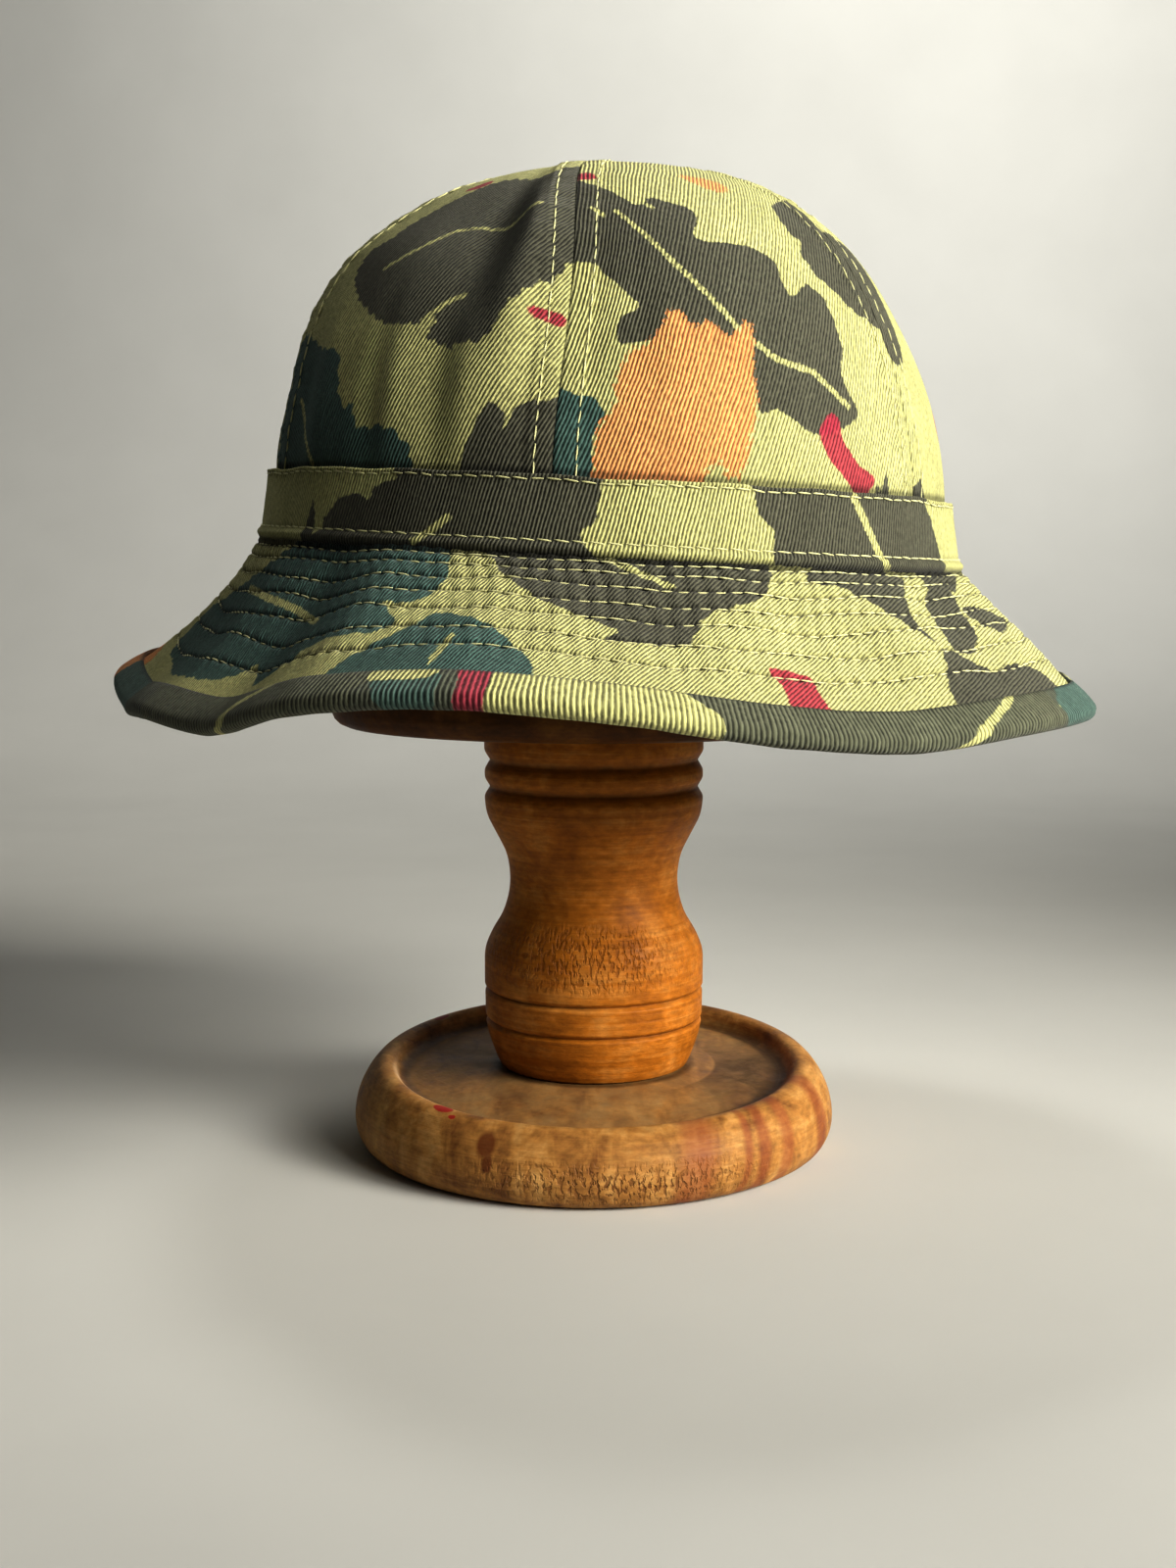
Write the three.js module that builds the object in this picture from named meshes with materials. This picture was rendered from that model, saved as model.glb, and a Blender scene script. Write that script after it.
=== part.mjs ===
import * as THREE from "three";

// A six-panel bucket hat resting on a turned wooden hat stand.
// Millimetres, +Z up. The origin is the middle of the stand's underside, and the hat's front faces -Y.
// Azimuths are degrees round +Z: 0 is the hat's right (+X), 90 its back and 270 its front.

// Cloth and clearances
const CLOTH = 1.2;
const BRIM_CLOTH = 2.0;
const GAP = 0.3;

// Where the hat sits on the stand: its centre is a little to the right,
// and the line of the band falls to the right and to the front.
const HAT_X = 4.4;
const BAND_Z = 164;
const BAND_RISE_PER_X = -0.05;
const BAND_RISE_PER_Y = 0.024;

// Crown: a squarish dome. The cloth behind the band flares down to the brim seam.
const CROWN_R = 89.6;
const CROWN_RISE = 80;
const CROWN_ROUND = 1.75;
const CROWN_SQUARE = 3.1;
const CROWN_CAP = 2.6;
const CROWN_TOP_X = -1.6;
const CROWN_FOOT_R = 91.8;
const CROWN_TIP_R = 0.6;
const SEAM_RAISE = 0.5;
const SEAM_HALF_WIDTH = 5.5;
const SEAM_GROOVE = 0.6;
const SEAM_GROOVE_WIDTH = 0.9;

// Heights up a gore, from the brim seam (-1) past the band's top edge (0) to the apex (1).
const CROWN_ROWS = [-1, 0, 0.008, 0.03, 0.07, 0.13, 0.22, 0.35, 0.52, 0.74];

// One row per gore: its two seams.
const GORES = [
  { name: "crown_panel_front_left", fromSeam: 200, toSeam: 261 },
  { name: "crown_panel_front_right", fromSeam: 261, toSeam: 325 },
  { name: "crown_panel_right", fromSeam: 325, toSeam: 384 },
  { name: "crown_panel_back_right", fromSeam: 384, toSeam: 442 },
  { name: "crown_panel_back_left", fromSeam: 442, toSeam: 501 },
  { name: "crown_panel_left", fromSeam: 501, toSeam: 560 },
];

// Soft dents of the crown, one per row: middle, half spread and depth (a bulge is negative).
const DENTS = [
  { az: 188, up: 0.26, spreadAz: 26, spreadUp: 0.16, depth: 1.3 },
  { az: 218, up: 0.86, spreadAz: 32, spreadUp: 0.13, depth: 2.0 },
  { az: 245, up: 0.34, spreadAz: 13, spreadUp: 0.24, depth: 1.6 },
  { az: 288, up: 0.5, spreadAz: 18, spreadUp: 0.3, depth: -1.2 },
  { az: 350, up: 0.56, spreadAz: 22, spreadUp: 0.18, depth: 0.8 },
  { az: 60, up: 0.55, spreadAz: 20, spreadUp: 0.22, depth: 2.0 },
  { az: 118, up: 0.4, spreadAz: 18, spreadUp: 0.25, depth: 1.6 },
];

// Band
const BAND_HEIGHT = 17;
const BAND_LOW_R = 94;
const BAND_TOP_R = 91.5;

// Brim and the binding round its outer edge
const BRIM_START_R = 93.2;
const BRIM_START_DROP = 1.2;
const BINDING_WIDTH = 10;
const BINDING_CLOTH = 0.9;
const BINDING_END = 2.4;
const RING_STEPS = 96;
const BRIM_STEPS = 5;

// Waves of the brim, a row every 15 degrees: its length down the slope with the binding, its mean fall
// below the horizontal, and how much steeper than that it starts (and shallower it ends).
const BRIM_ROWS = [
  { az: 0, slant: 49, fall: 45, flare: 2 },
  { az: 15, slant: 51, fall: 45, flare: 2 },
  { az: 30, slant: 52, fall: 44, flare: 4 },
  { az: 45, slant: 53, fall: 43, flare: 6 },
  { az: 60, slant: 54, fall: 45, flare: 9 },
  { az: 75, slant: 54, fall: 44, flare: 9 },
  { az: 90, slant: 54, fall: 41, flare: 9 },
  { az: 105, slant: 54, fall: 39, flare: 10 },
  { az: 120, slant: 55, fall: 41, flare: 11 },
  { az: 135, slant: 55, fall: 45, flare: 12 },
  { az: 150, slant: 56, fall: 45, flare: 13 },
  { az: 165, slant: 56, fall: 42, flare: 14 },
  { az: 180, slant: 57, fall: 42, flare: 14 },
  { az: 195, slant: 57, fall: 50, flare: 14 },
  { az: 210, slant: 57, fall: 47, flare: 12 },
  { az: 225, slant: 57, fall: 48, flare: 10 },
  { az: 240, slant: 56, fall: 38, flare: 8 },
  { az: 255, slant: 55, fall: 34, flare: 7 },
  { az: 270, slant: 55, fall: 36, flare: 6 },
  { az: 285, slant: 55, fall: 42, flare: 5 },
  { az: 300, slant: 54, fall: 46, flare: 3 },
  { az: 315, slant: 53, fall: 43, flare: 0 },
  { az: 330, slant: 52, fall: 42, flare: -2 },
  { az: 345, slant: 49, fall: 46, flare: 1 },
];

// Stand, turned round Z: each row is a radius and a height, from the axis below to the axis above.
const BASE_PROFILE = [
  { r: 0, z: 0 },
  { r: 61.5, z: 0 },
  { r: 64.6, z: 1.6 },
  { r: 66.6, z: 5 },
  { r: 67, z: 9 },
  { r: 66, z: 14 },
  { r: 63.5, z: 18.5 },
  { r: 60.6, z: 21.4 },
  { r: 58, z: 22 },
  { r: 55.9, z: 21.2 },
  { r: 54.4, z: 18.9 },
  { r: 52, z: 18 },
  { r: 28, z: 21.6 },
  { r: 0, z: 21.6 },
];
const COLUMN_PROFILE = [
  { r: 0, z: 21.9 },
  { r: 26.2, z: 21.9 },
  { r: 27.4, z: 24.4 },
  { r: 29.4, z: 30 },
  { r: 30.2, z: 33.8 },
  { r: 29.1, z: 34.8 },
  { r: 30.3, z: 35.8 },
  { r: 30.4, z: 42.3 },
  { r: 29.2, z: 43.3 },
  { r: 30.5, z: 44.3 },
  { r: 30.5, z: 54 },
  { r: 28.4, z: 59 },
  { r: 25.2, z: 64 },
  { r: 23.5, z: 70 },
  { r: 23.2, z: 75 },
  { r: 24.1, z: 81 },
  { r: 27.2, z: 87 },
  { r: 29.8, z: 92 },
  { r: 30.3, z: 97 },
  { r: 28.7, z: 99.6 },
  { r: 30.2, z: 102.2 },
  { r: 30.2, z: 104.4 },
  { r: 28.7, z: 107 },
  { r: 30.3, z: 109.6 },
  { r: 30.3, z: 113.6 },
  { r: 29.4, z: 116.7 },
  { r: 0, z: 116.7 },
];
const BLOCK_FOOT_Z = 117;
const BLOCK_R = 72;
const BLOCK_EDGE = 6;
const BLOCK_WALL_Z = 206;
const BLOCK_ROUND_STEPS = 7;
const BASE_SIDES = 48;

// The base is not quite even: its rim and tray rise towards the back, outside the column's seat.
const BASE_LEAN_PER_Y = 0.06;
const BASE_LEAN_RAISE = 1.2;
const BASE_SEAT_R = 30;
const BASE_TRAY_R = 52;
const BASE_CREST_Z = 22;
const COLUMN_SIDES = 32;
const BLOCK_SIDES = 36;

const radians = THREE.MathUtils.degToRad;
const mix = THREE.MathUtils.lerp;

// A smooth closed curve through the evenly spaced rows of the brim's table.
function aroundBrim(column, az) {
  const count = BRIM_ROWS.length;
  const place = THREE.MathUtils.euclideanModulo(az, 360) / (360 / count);
  const first = Math.floor(place);
  const f = place - first;
  const at = (step) => BRIM_ROWS[(first + step + count) % count][column];
  const slopeIn = (at(1) - at(-1)) / 2;
  const slopeOut = (at(2) - at(0)) / 2;
  const rise = at(1) - at(0);
  const bend = 3 * rise - 2 * slopeIn - slopeOut;
  const twist = slopeIn + slopeOut - 2 * rise;
  return at(0) + f * (slopeIn + f * (bend + f * twist));
}

// Height of the band's lower edge over a point that is x, y from the hat's centre.
function bandLine(x, y) {
  return BAND_Z + BAND_RISE_PER_X * x + BAND_RISE_PER_Y * y;
}

// Crown profile: radius and height above the band's top edge, for v from -1 to 1.
function crownProfile(v) {
  if (v < 0) {
    return { r: mix(CROWN_R, CROWN_FOOT_R, -v), up: (v * BAND_HEIGHT) / CROWN_RISE };
  }
  const reach = 1 - v;
  const shoulder = Math.pow(1 - Math.pow(reach, CROWN_SQUARE), 1 / CROWN_ROUND);
  const cap = (CROWN_CAP / CROWN_RISE) * v * v;
  return { r: CROWN_R * reach, up: shoulder + cap };
}

function angleBetween(a, b) {
  return THREE.MathUtils.euclideanModulo(a - b + 180, 360) - 180;
}

// How far the cloth stands out of the plain dome: dents and the folded seams.
function crownRelief(az, v) {
  const { r, up } = crownProfile(v);
  let out = 0;
  for (const dent of DENTS) {
    const side = angleBetween(az, dent.az) / dent.spreadAz;
    const height = (up - dent.up) / dent.spreadUp;
    out -= dent.depth * Math.exp(-side * side - height * height);
  }
  for (const gore of GORES) {
    const distance = Math.abs(radians(angleBetween(az, gore.fromSeam))) * r;
    const groove = distance / SEAM_GROOVE_WIDTH;
    out += SEAM_RAISE * (1 - THREE.MathUtils.smoothstep(distance, SEAM_HALF_WIDTH, SEAM_HALF_WIDTH + 3));
    out -= SEAM_GROOVE * Math.exp(-groove * groove);
  }
  return out;
}

// A point of the crown, `depth` below its outer face.
function crownPoint(az, v, depth) {
  const here = crownProfile(v);
  const below = crownProfile(Math.max(-1, v - 0.004));
  const above = crownProfile(Math.min(1, v + 0.004));
  const dr = above.r - below.r;
  const dz = (above.up - below.up) * CROWN_RISE;
  const length = Math.hypot(dr, dz);
  const out = crownRelief(az, v) - depth;
  const r = here.r + (out * dz) / length;
  const rise = here.up * CROWN_RISE - (out * dr) / length;
  const x = r * Math.cos(radians(az));
  const y = r * Math.sin(radians(az));
  const fade = 1 - THREE.MathUtils.clamp(here.up, 0, 1);
  const tilt = (bandLine(x, y) - BAND_Z) * fade;
  const shift = HAT_X + CROWN_TOP_X * (1 - fade);
  return new THREE.Vector3(shift + x, y, BAND_Z + BAND_HEIGHT + tilt + rise);
}

// A point of the brim: `along` its slope from the band, and `out` of its middle surface.
function brimPoint(az, along, out) {
  const fall = radians(aroundBrim("fall", az));
  const flare = radians(aroundBrim("flare", az));
  const part = along / aroundBrim("slant", az);
  const angle = fall + flare * (1 - 2 * part);
  const meanAngle = fall + flare * (1 - part);
  const r = BRIM_START_R + along * Math.cos(meanAngle) + out * Math.sin(angle);
  const drop = BRIM_START_DROP + along * Math.sin(meanAngle) - out * Math.cos(angle);
  const cos = Math.cos(radians(az));
  const sin = Math.sin(radians(az));
  const foot = bandLine(BRIM_START_R * cos, BRIM_START_R * sin);
  return new THREE.Vector3(HAT_X + r * cos, r * sin, foot - drop);
}

// A closed skin over a row of loops. An open row is capped at both ends,
// where point j of the loop's first half faces point j of its second half, counted back.
function sweep(loops, closed) {
  const size = loops[0].length;
  const positions = loops.flat().flatMap((point) => [point.x, point.y, point.z]);
  const index = [];
  const quad = (a, b, c, d) => index.push(a, b, c, a, c, d);
  const spans = closed ? loops.length : loops.length - 1;
  for (let i = 0; i < spans; i += 1) {
    const here = i * size;
    const next = ((i + 1) % loops.length) * size;
    for (let j = 0; j < size; j += 1) {
      const k = (j + 1) % size;
      quad(here + j, here + k, next + k, next + j);
    }
  }
  if (!closed) {
    const last = (loops.length - 1) * size;
    for (let j = 0; j < size / 2 - 1; j += 1) {
      quad(size - 1 - j, size - 2 - j, j + 1, j);
      quad(last + j, last + j + 1, last + size - 2 - j, last + size - 1 - j);
    }
  }
  const geometry = new THREE.BufferGeometry();
  geometry.setAttribute("position", new THREE.Float32BufferAttribute(positions, 3));
  geometry.setIndex(index);
  geometry.computeVertexNormals();
  return geometry;
}

// Places across half a gore: a few at set distances from the seam, then to the middle.
const SEAM_STEPS = [0, 1.4, 5.5, 8.5];
const MIDDLE_STEPS = [0.5, 1];

function goreAzimuths(gore, r) {
  const half = (gore.toSeam - gore.fromSeam) / 2;
  const middle = gore.fromSeam + half;
  const halfWidth = r * radians(half);
  const clearance = THREE.MathUtils.radToDeg(Math.asin(Math.min(0.45, GAP / 2 / r)));
  const scale = Math.min(1, halfWidth / 24);
  const lastStep = SEAM_STEPS.at(-1) * scale;
  const distances = SEAM_STEPS.map((step) => step * scale);
  for (const step of MIDDLE_STEPS) {
    distances.push(mix(lastStep, halfWidth, step));
  }
  const offsets = distances.map((d) => mix(half - clearance, 0, d / halfWidth));
  const before = offsets.map((offset) => middle - offset);
  const after = offsets.slice(0, -1).reverse().map((offset) => middle + offset);
  return [...before, ...after];
}

function goreGeometry(gore) {
  const tip = 1 - CROWN_TIP_R / CROWN_R;
  const loops = [...CROWN_ROWS, tip].map((v) => {
    const azimuths = goreAzimuths(gore, crownProfile(v).r);
    const outer = azimuths.map((az) => crownPoint(az, v, 0));
    const inner = azimuths.map((az) => crownPoint(az, v, CLOTH));
    return [...outer, ...inner.reverse()];
  });
  return sweep(loops, false);
}

// A closed ring from a cross-section, given as a loop of pairs, and the rule that places a pair.
function ringGeometry(section, place) {
  const loops = [];
  for (let i = 0; i < RING_STEPS; i += 1) {
    const az = (i * 360) / RING_STEPS;
    loops.push(section.map(([first, second]) => place(az, first, second)));
  }
  return sweep(loops, true);
}

function bandGeometry() {
  const place = (az, up, depth) => {
    const r = mix(BAND_LOW_R, BAND_TOP_R, up) - depth;
    const x = r * Math.cos(radians(az));
    const y = r * Math.sin(radians(az));
    return new THREE.Vector3(HAT_X + x, y, bandLine(x, y) + up * BAND_HEIGHT);
  };
  const section = [
    [0, CLOTH],
    [1, CLOTH],
    [1, 0.2],
    [0.9, 0],
    [0.1, 0],
    [0, 0.2],
  ];
  return ringGeometry(section, place);
}

function brimGeometry() {
  const place = (az, part, out) => {
    const reach = aroundBrim("slant", az) - BINDING_END - GAP;
    return brimPoint(az, part * reach, out);
  };
  const upper = [];
  const lower = [];
  for (let i = 0; i < BRIM_STEPS; i += 1) {
    const part = i / (BRIM_STEPS - 1);
    upper.push([part, BRIM_CLOTH / 2]);
    lower.push([part, -BRIM_CLOTH / 2]);
  }
  return ringGeometry([...upper, ...lower.reverse()], place);
}

// The binding is a U: cloth over the brim, round its edge and back under it.
// Its section is measured back from the outer edge.
function bindingGeometry() {
  const place = (az, back, out) => brimPoint(az, aroundBrim("slant", az) - back, out);
  const inner = BRIM_CLOTH / 2 + GAP;
  const outer = inner + BINDING_CLOTH;
  const section = [
    [BINDING_WIDTH, inner],
    [BINDING_WIDTH, outer],
    [BINDING_END, outer],
    [BINDING_END * 0.25, outer * 0.7],
    [0, 0],
    [BINDING_END * 0.25, -outer * 0.7],
    [BINDING_END, -outer],
    [BINDING_WIDTH, -outer],
    [BINDING_WIDTH, -inner],
    [BINDING_END, -inner],
    [BINDING_END, inner],
  ];
  return ringGeometry(section, place);
}

function turned(profile, sides) {
  const points = profile.map((row) => new THREE.Vector2(row.r, row.z));
  const geometry = new THREE.LatheGeometry(points, sides);
  geometry.rotateX(Math.PI / 2);
  return geometry;
}

function baseGeometry() {
  const geometry = turned(BASE_PROFILE, BASE_SIDES);
  const places = geometry.attributes.position;
  for (let i = 0; i < places.count; i += 1) {
    const y = places.getY(i);
    const z = places.getZ(i);
    const outside = THREE.MathUtils.smoothstep(Math.hypot(places.getX(i), y), BASE_SEAT_R, BASE_TRAY_R);
    places.setZ(i, z + outside * (z / BASE_CREST_Z) * (BASE_LEAN_RAISE + BASE_LEAN_PER_Y * y));
  }
  geometry.computeVertexNormals();
  return geometry;
}

// The block's dome ends just under the cloth at the crown's apex.
function blockProfile() {
  const apex = BAND_Z + BAND_HEIGHT + CROWN_RISE + CROWN_CAP - CLOTH - GAP;
  const profile = [
    { r: 0, z: BLOCK_FOOT_Z },
    { r: BLOCK_R - BLOCK_EDGE, z: BLOCK_FOOT_Z },
    { r: BLOCK_R - BLOCK_EDGE * 0.3, z: BLOCK_FOOT_Z + BLOCK_EDGE * 0.3 },
    { r: BLOCK_R, z: BLOCK_FOOT_Z + BLOCK_EDGE },
  ];
  for (let i = 0; i <= BLOCK_ROUND_STEPS; i += 1) {
    const turn = (Math.PI / 2) * (i / BLOCK_ROUND_STEPS);
    const r = i === BLOCK_ROUND_STEPS ? 0 : BLOCK_R * Math.cos(turn);
    profile.push({ r, z: mix(BLOCK_WALL_Z, apex, Math.sin(turn)) });
  }
  return profile;
}

const hat = new THREE.Group();
hat.name = "bucket_hat_on_stand";

function addPiece(name, geometry, color, roughness) {
  const material = new THREE.MeshStandardMaterial({ color, roughness, metalness: 0 });
  const mesh = new THREE.Mesh(geometry, material);
  mesh.name = name;
  hat.add(mesh);
}

const PRINT_GREEN = 0xb4b36b;
const PRINT_DARK = 0x54573f;
const WOOD = 0x95602c;
const CLOTH_ROUGHNESS = 0.9;
const VARNISH_ROUGHNESS = 0.45;

for (const gore of GORES) {
  addPiece(gore.name, goreGeometry(gore), PRINT_GREEN, CLOTH_ROUGHNESS);
}
addPiece("hat_band", bandGeometry(), PRINT_GREEN, CLOTH_ROUGHNESS);
addPiece("brim", brimGeometry(), PRINT_GREEN, CLOTH_ROUGHNESS);
addPiece("brim_binding", bindingGeometry(), PRINT_DARK, CLOTH_ROUGHNESS);
addPiece("stand_base", baseGeometry(), WOOD, VARNISH_ROUGHNESS);
addPiece("stand_column", turned(COLUMN_PROFILE, COLUMN_SIDES), WOOD, VARNISH_ROUGHNESS);
addPiece("stand_block", turned(blockProfile(), BLOCK_SIDES), WOOD, VARNISH_ROUGHNESS);

export default hat;
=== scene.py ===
import math
from collections import namedtuple

import bpy
import numpy as np
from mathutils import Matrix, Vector


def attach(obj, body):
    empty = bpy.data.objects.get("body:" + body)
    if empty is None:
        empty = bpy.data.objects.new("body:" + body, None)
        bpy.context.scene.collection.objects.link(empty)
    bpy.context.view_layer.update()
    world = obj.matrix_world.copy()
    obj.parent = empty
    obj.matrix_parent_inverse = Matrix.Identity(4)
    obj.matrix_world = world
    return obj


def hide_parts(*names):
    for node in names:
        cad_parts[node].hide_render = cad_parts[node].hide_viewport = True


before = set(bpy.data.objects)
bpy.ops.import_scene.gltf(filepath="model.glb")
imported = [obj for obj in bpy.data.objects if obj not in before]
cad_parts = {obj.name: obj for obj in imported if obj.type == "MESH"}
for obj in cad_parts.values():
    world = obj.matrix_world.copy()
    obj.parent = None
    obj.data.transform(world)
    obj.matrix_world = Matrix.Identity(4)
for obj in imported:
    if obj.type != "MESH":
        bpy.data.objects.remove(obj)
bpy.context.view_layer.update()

# The view
# The hat is seen from the front, half a metre away, with the lens at the height of its brim and tipped
# down a little. The floor is a pale painted sheet that curves up behind it.
PHOTO_HEIGHT_PX = 1600
FOCAL_PX = 1850
SENSOR_MM = 36
NEAREST_SEEN = 0.01
CAMERA_PLACE = (-0.0016, -0.5, 0.156)
CAMERA_TIP_DEG = 6.4

# The deep shadows of a small camera: darks pulled down, lights kept.
PICTURE_GAMMA = 0.82
PICTURE_EXPOSURE = 0.25

camera_data = bpy.data.cameras.new("view")
camera_data.sensor_width = SENSOR_MM
camera_data.lens = SENSOR_MM * FOCAL_PX / PHOTO_HEIGHT_PX
camera_data.clip_start = NEAREST_SEEN
camera = bpy.data.objects.new("view", camera_data)
camera.location = CAMERA_PLACE
camera.rotation_euler = (math.radians(90 - CAMERA_TIP_DEG), 0, 0)
bpy.context.collection.objects.link(camera)
bpy.context.scene.camera = camera
view_settings = bpy.context.scene.view_settings
view_settings.view_transform = "Standard"
view_settings.gamma = PICTURE_GAMMA
view_settings.exposure = PICTURE_EXPOSURE


def linear(code):
    """The linear RGBA of an sRGB hex colour."""
    channels = [int(code[i:i + 2], 16) / 255 for i in (0, 2, 4)]
    bent = [c / 12.92 if c <= 0.04045 else ((c + 0.055) / 1.055) ** 2.4 for c in channels]
    return (*bent, 1.0)


def add(tree, kind, inputs=None, **settings):
    """Adds a node with its settings; inputs maps an input's name or number to a value or to an output."""
    node = tree.nodes.new(kind)
    for name, value in settings.items():
        setattr(node, name, value)
    for key, value in (inputs or {}).items():
        if isinstance(value, bpy.types.NodeSocket):
            tree.links.new(value, node.inputs[key])
        else:
            node.inputs[key].default_value = value
    return node


def start_material(name, constants):
    """A new material with constants on its Principled shader, its node tree and the shader's inputs."""
    material = bpy.data.materials.new(name)
    material.use_nodes = True
    shader = material.node_tree.nodes["Principled BSDF"]
    for socket, value in constants.items():
        shader.inputs[socket].default_value = value
    return material, material.node_tree, shader.inputs


def link_mesh(name, points, faces, material):
    """A smooth-shaded object from points in metres."""
    mesh = bpy.data.meshes.new(name)
    mesh.from_pydata(points, [], faces)
    mesh.materials.append(material)
    mesh.shade_smooth()
    piece = bpy.data.objects.new(name, mesh)
    bpy.context.collection.objects.link(piece)
    return piece


MM = 0.001
FLOOR_HALF_WIDTH = 3.0
FLOOR_FRONT = -2.5
FLOOR_BACK = 0.75
FLOOR_BEND = 0.6
FLOOR_BEND_STEPS = 16
BACKDROP_TOP = 3.0
BRUSH_MM = 111.1

# Painted floor: flat emulsion, which shows as an even, pale, almost shineless grey.
floor_paint, tree, sockets = start_material("pale_floor_paint", {"Roughness": 0.85,
                                                                 "Specular IOR Level": 0.2})
place = add(tree, "ShaderNodeTexCoord").outputs["Object"]
brush = add(tree, "ShaderNodeTexNoise", {"Vector": place, "Scale": 1 / (BRUSH_MM * MM), "Detail": 4.0})
tint = add(tree, "ShaderNodeMix",
           {"Factor": brush.outputs["Fac"], "A": linear("C8C8C4"), "B": linear("D2D2CE")}, data_type="RGBA")
tree.links.new(tint.outputs["Result"], sockets["Base Color"])

bend = np.linspace(0, math.pi / 2, FLOOR_BEND_STEPS + 1)
floor_line = [(FLOOR_FRONT, 0.0)]
floor_line += [(FLOOR_BACK + FLOOR_BEND * math.sin(a), FLOOR_BEND * (1 - math.cos(a))) for a in bend]
floor_line.append((FLOOR_BACK + FLOOR_BEND, BACKDROP_TOP))
floor_points = [(x, y, z) for y, z in floor_line for x in (-FLOOR_HALF_WIDTH, FLOOR_HALF_WIDTH)]
floor_faces = [(2 * i, 2 * i + 1, 2 * i + 3, 2 * i + 2) for i in range(len(floor_line) - 1)]
floor = link_mesh("floor", floor_points, floor_faces, floor_paint)

# Lights: name, place, aim, size in metres, watts, spread of the beam in degrees and colour. The first two are
# one tall window at the right, with a grid that keeps its light off the backdrop; then soft lamps fill the
# front, wash the right side and the backdrop, and keep the hat's back out of the dark.
HAT_SPOT = (0.0, 0.0, 0.16)
BACKDROP_SPOT = (0.00, 1.35, 0.70)
SURROUND_COLOUR = "EAE6DC"
SURROUND_STRENGTH = 0.015
LIGHTS = [
    ("window", (1.00, -0.56, 0.62), HAT_SPOT, 0.50, 2.2, 50, "FFFBF2"),
    ("window_edge", (0.75, -0.85, 0.65), HAT_SPOT, 0.50, 0.8, 50, "FFFBF2"),
    ("front_fill", (0.30, -1.40, 0.60), HAT_SPOT, 1.00, 0.3, 180, "F8F4EA"),
    ("side_wash", (0.90, 0.05, 0.75), HAT_SPOT, 0.80, 1.2, 180, "FFFDF8"),
    ("backdrop_wash", (0.65, 0.30, 1.00), BACKDROP_SPOT, 0.90, 9.0, 110, "FFFDF8"),
    ("back_fill", (-0.30, 0.65, 1.50), HAT_SPOT, 0.50, 0.2, 24, "FFFDF8"),
]
for name, spot, aim, size, watts, spread, colour in LIGHTS:
    lamp = bpy.data.lights.new(name, "AREA")
    lamp.size = size
    lamp.spread = math.radians(spread)
    lamp.energy = watts
    lamp.color = linear(colour)[:3]
    stand_in = bpy.data.objects.new(name, lamp)
    stand_in.location = spot
    stand_in.rotation_euler = (Vector(aim) - Vector(spot)).to_track_quat("-Z", "Y").to_euler()
    bpy.context.collection.objects.link(stand_in)
world = bpy.data.worlds.new("soft_surround_light")
world.use_nodes = True
surround = world.node_tree.nodes["Background"].inputs
surround["Color"].default_value = linear(SURROUND_COLOUR)
surround["Strength"].default_value = SURROUND_STRENGTH
bpy.context.scene.world = world


# Stand base
# A round foot faced and dished on a lathe from one board, with a fat rounded rim and a shallow tray
# that the column stands in. The varnish is worn, and a few drops of red paint have dried on it.

# Azimuths are in degrees from the photo's right, counted by way of the back.
BACK = 90

# The steps along a profile, the steps round its corners, and the most of a side that a rounding takes.
PROFILE_STEP = 1.3
CORNER_STEPS = 6
CORNER_MOST = 0.48

# The base's outline from the axis below to the axis above: radius, height and reach of the corner's rounding.
BASE_ROWS = [
    (0, 0, 0), (61.5, 0, 1.2), (64.6, 1.6, 1.4), (66.6, 5, 2), (67, 9, 2.4), (66, 14, 2.4), (63.5, 18.5, 2.2),
    (60.6, 21.4, 1.6), (58, 22, 1.3), (55.9, 21.2, 1.1), (54.4, 18.9, 1.2), (52, 18, 1.2), (28, 21.6, 4),
    (0, 21.6, 0),
]
BASE_SIDES = 352
BASE_SEAT_R = 30
BASE_TRAY_R = 52
BASE_CREST_Z = 22
BASE_UPPER_Z = 10
BASE_LEAN_RAISE = 1.2
BASE_LEAN_PER_Y = 0.06

# Dried paint and runs of stain: azimuth, radius and height of the middle, half width and half height.
PAINT_DROPS = [(228, 58.5, 21.9, 3.2, 1.6), (233, 60.5, 21.2, 1.1, 0.8), (142, 58.0, 22.0, 3.4, 1.2)]
STAIN_RUNS = [(245, 64.6, 17.5, 2.4, 3.6), (246, 66.4, 12.5, 1.3, 2.6)]
SPOT_REACH = 1.5

# Reddish bands of the figure that run down the rim, a little aslant: azimuth and half width in degrees.
FIGURE_BANDS = [(291, 5.0), (304, 1.3), (309, 2.2), (317, 2.6), (335, 4.0), (60, 5.0), (120, 3.0)]
FIGURE_SLANT = 0.2
FIGURE_SOFTNESS = 1.3
FIGURE_FROM_R = 55

# Torn end grain low on the front of the rim: middle azimuth and height, and half spreads of both.
TORN_AZ = 276
TORN_HALF_AZ = 34
TORN_Z = 8
TORN_HALF_Z = 7
TORN_FROM_R = 60

# The rubbed inner edge of the rim at the left, painted pale as wear and as a highlight: radius and azimuth,
# half spreads of both and least height.
WORN_R = 55.6
WORN_HALF_R = 0.9
WORN_AZ = 205
WORN_HALF_AZ = 26
WORN_FROM_Z = 19

# Painted shade round the column's foot and in the corner of the tray, and grime over the tray's right side.
SHADE_FOOT_R = 27
SHADE_CORNER_R = 53
SHADE_CORNER_TO_Z = 20.5
DIRT_SIDE_AZ = 350
DIRT_SIDE_HALF_AZ = 45
DIRT_SIDE_FROM_R = 34
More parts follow.
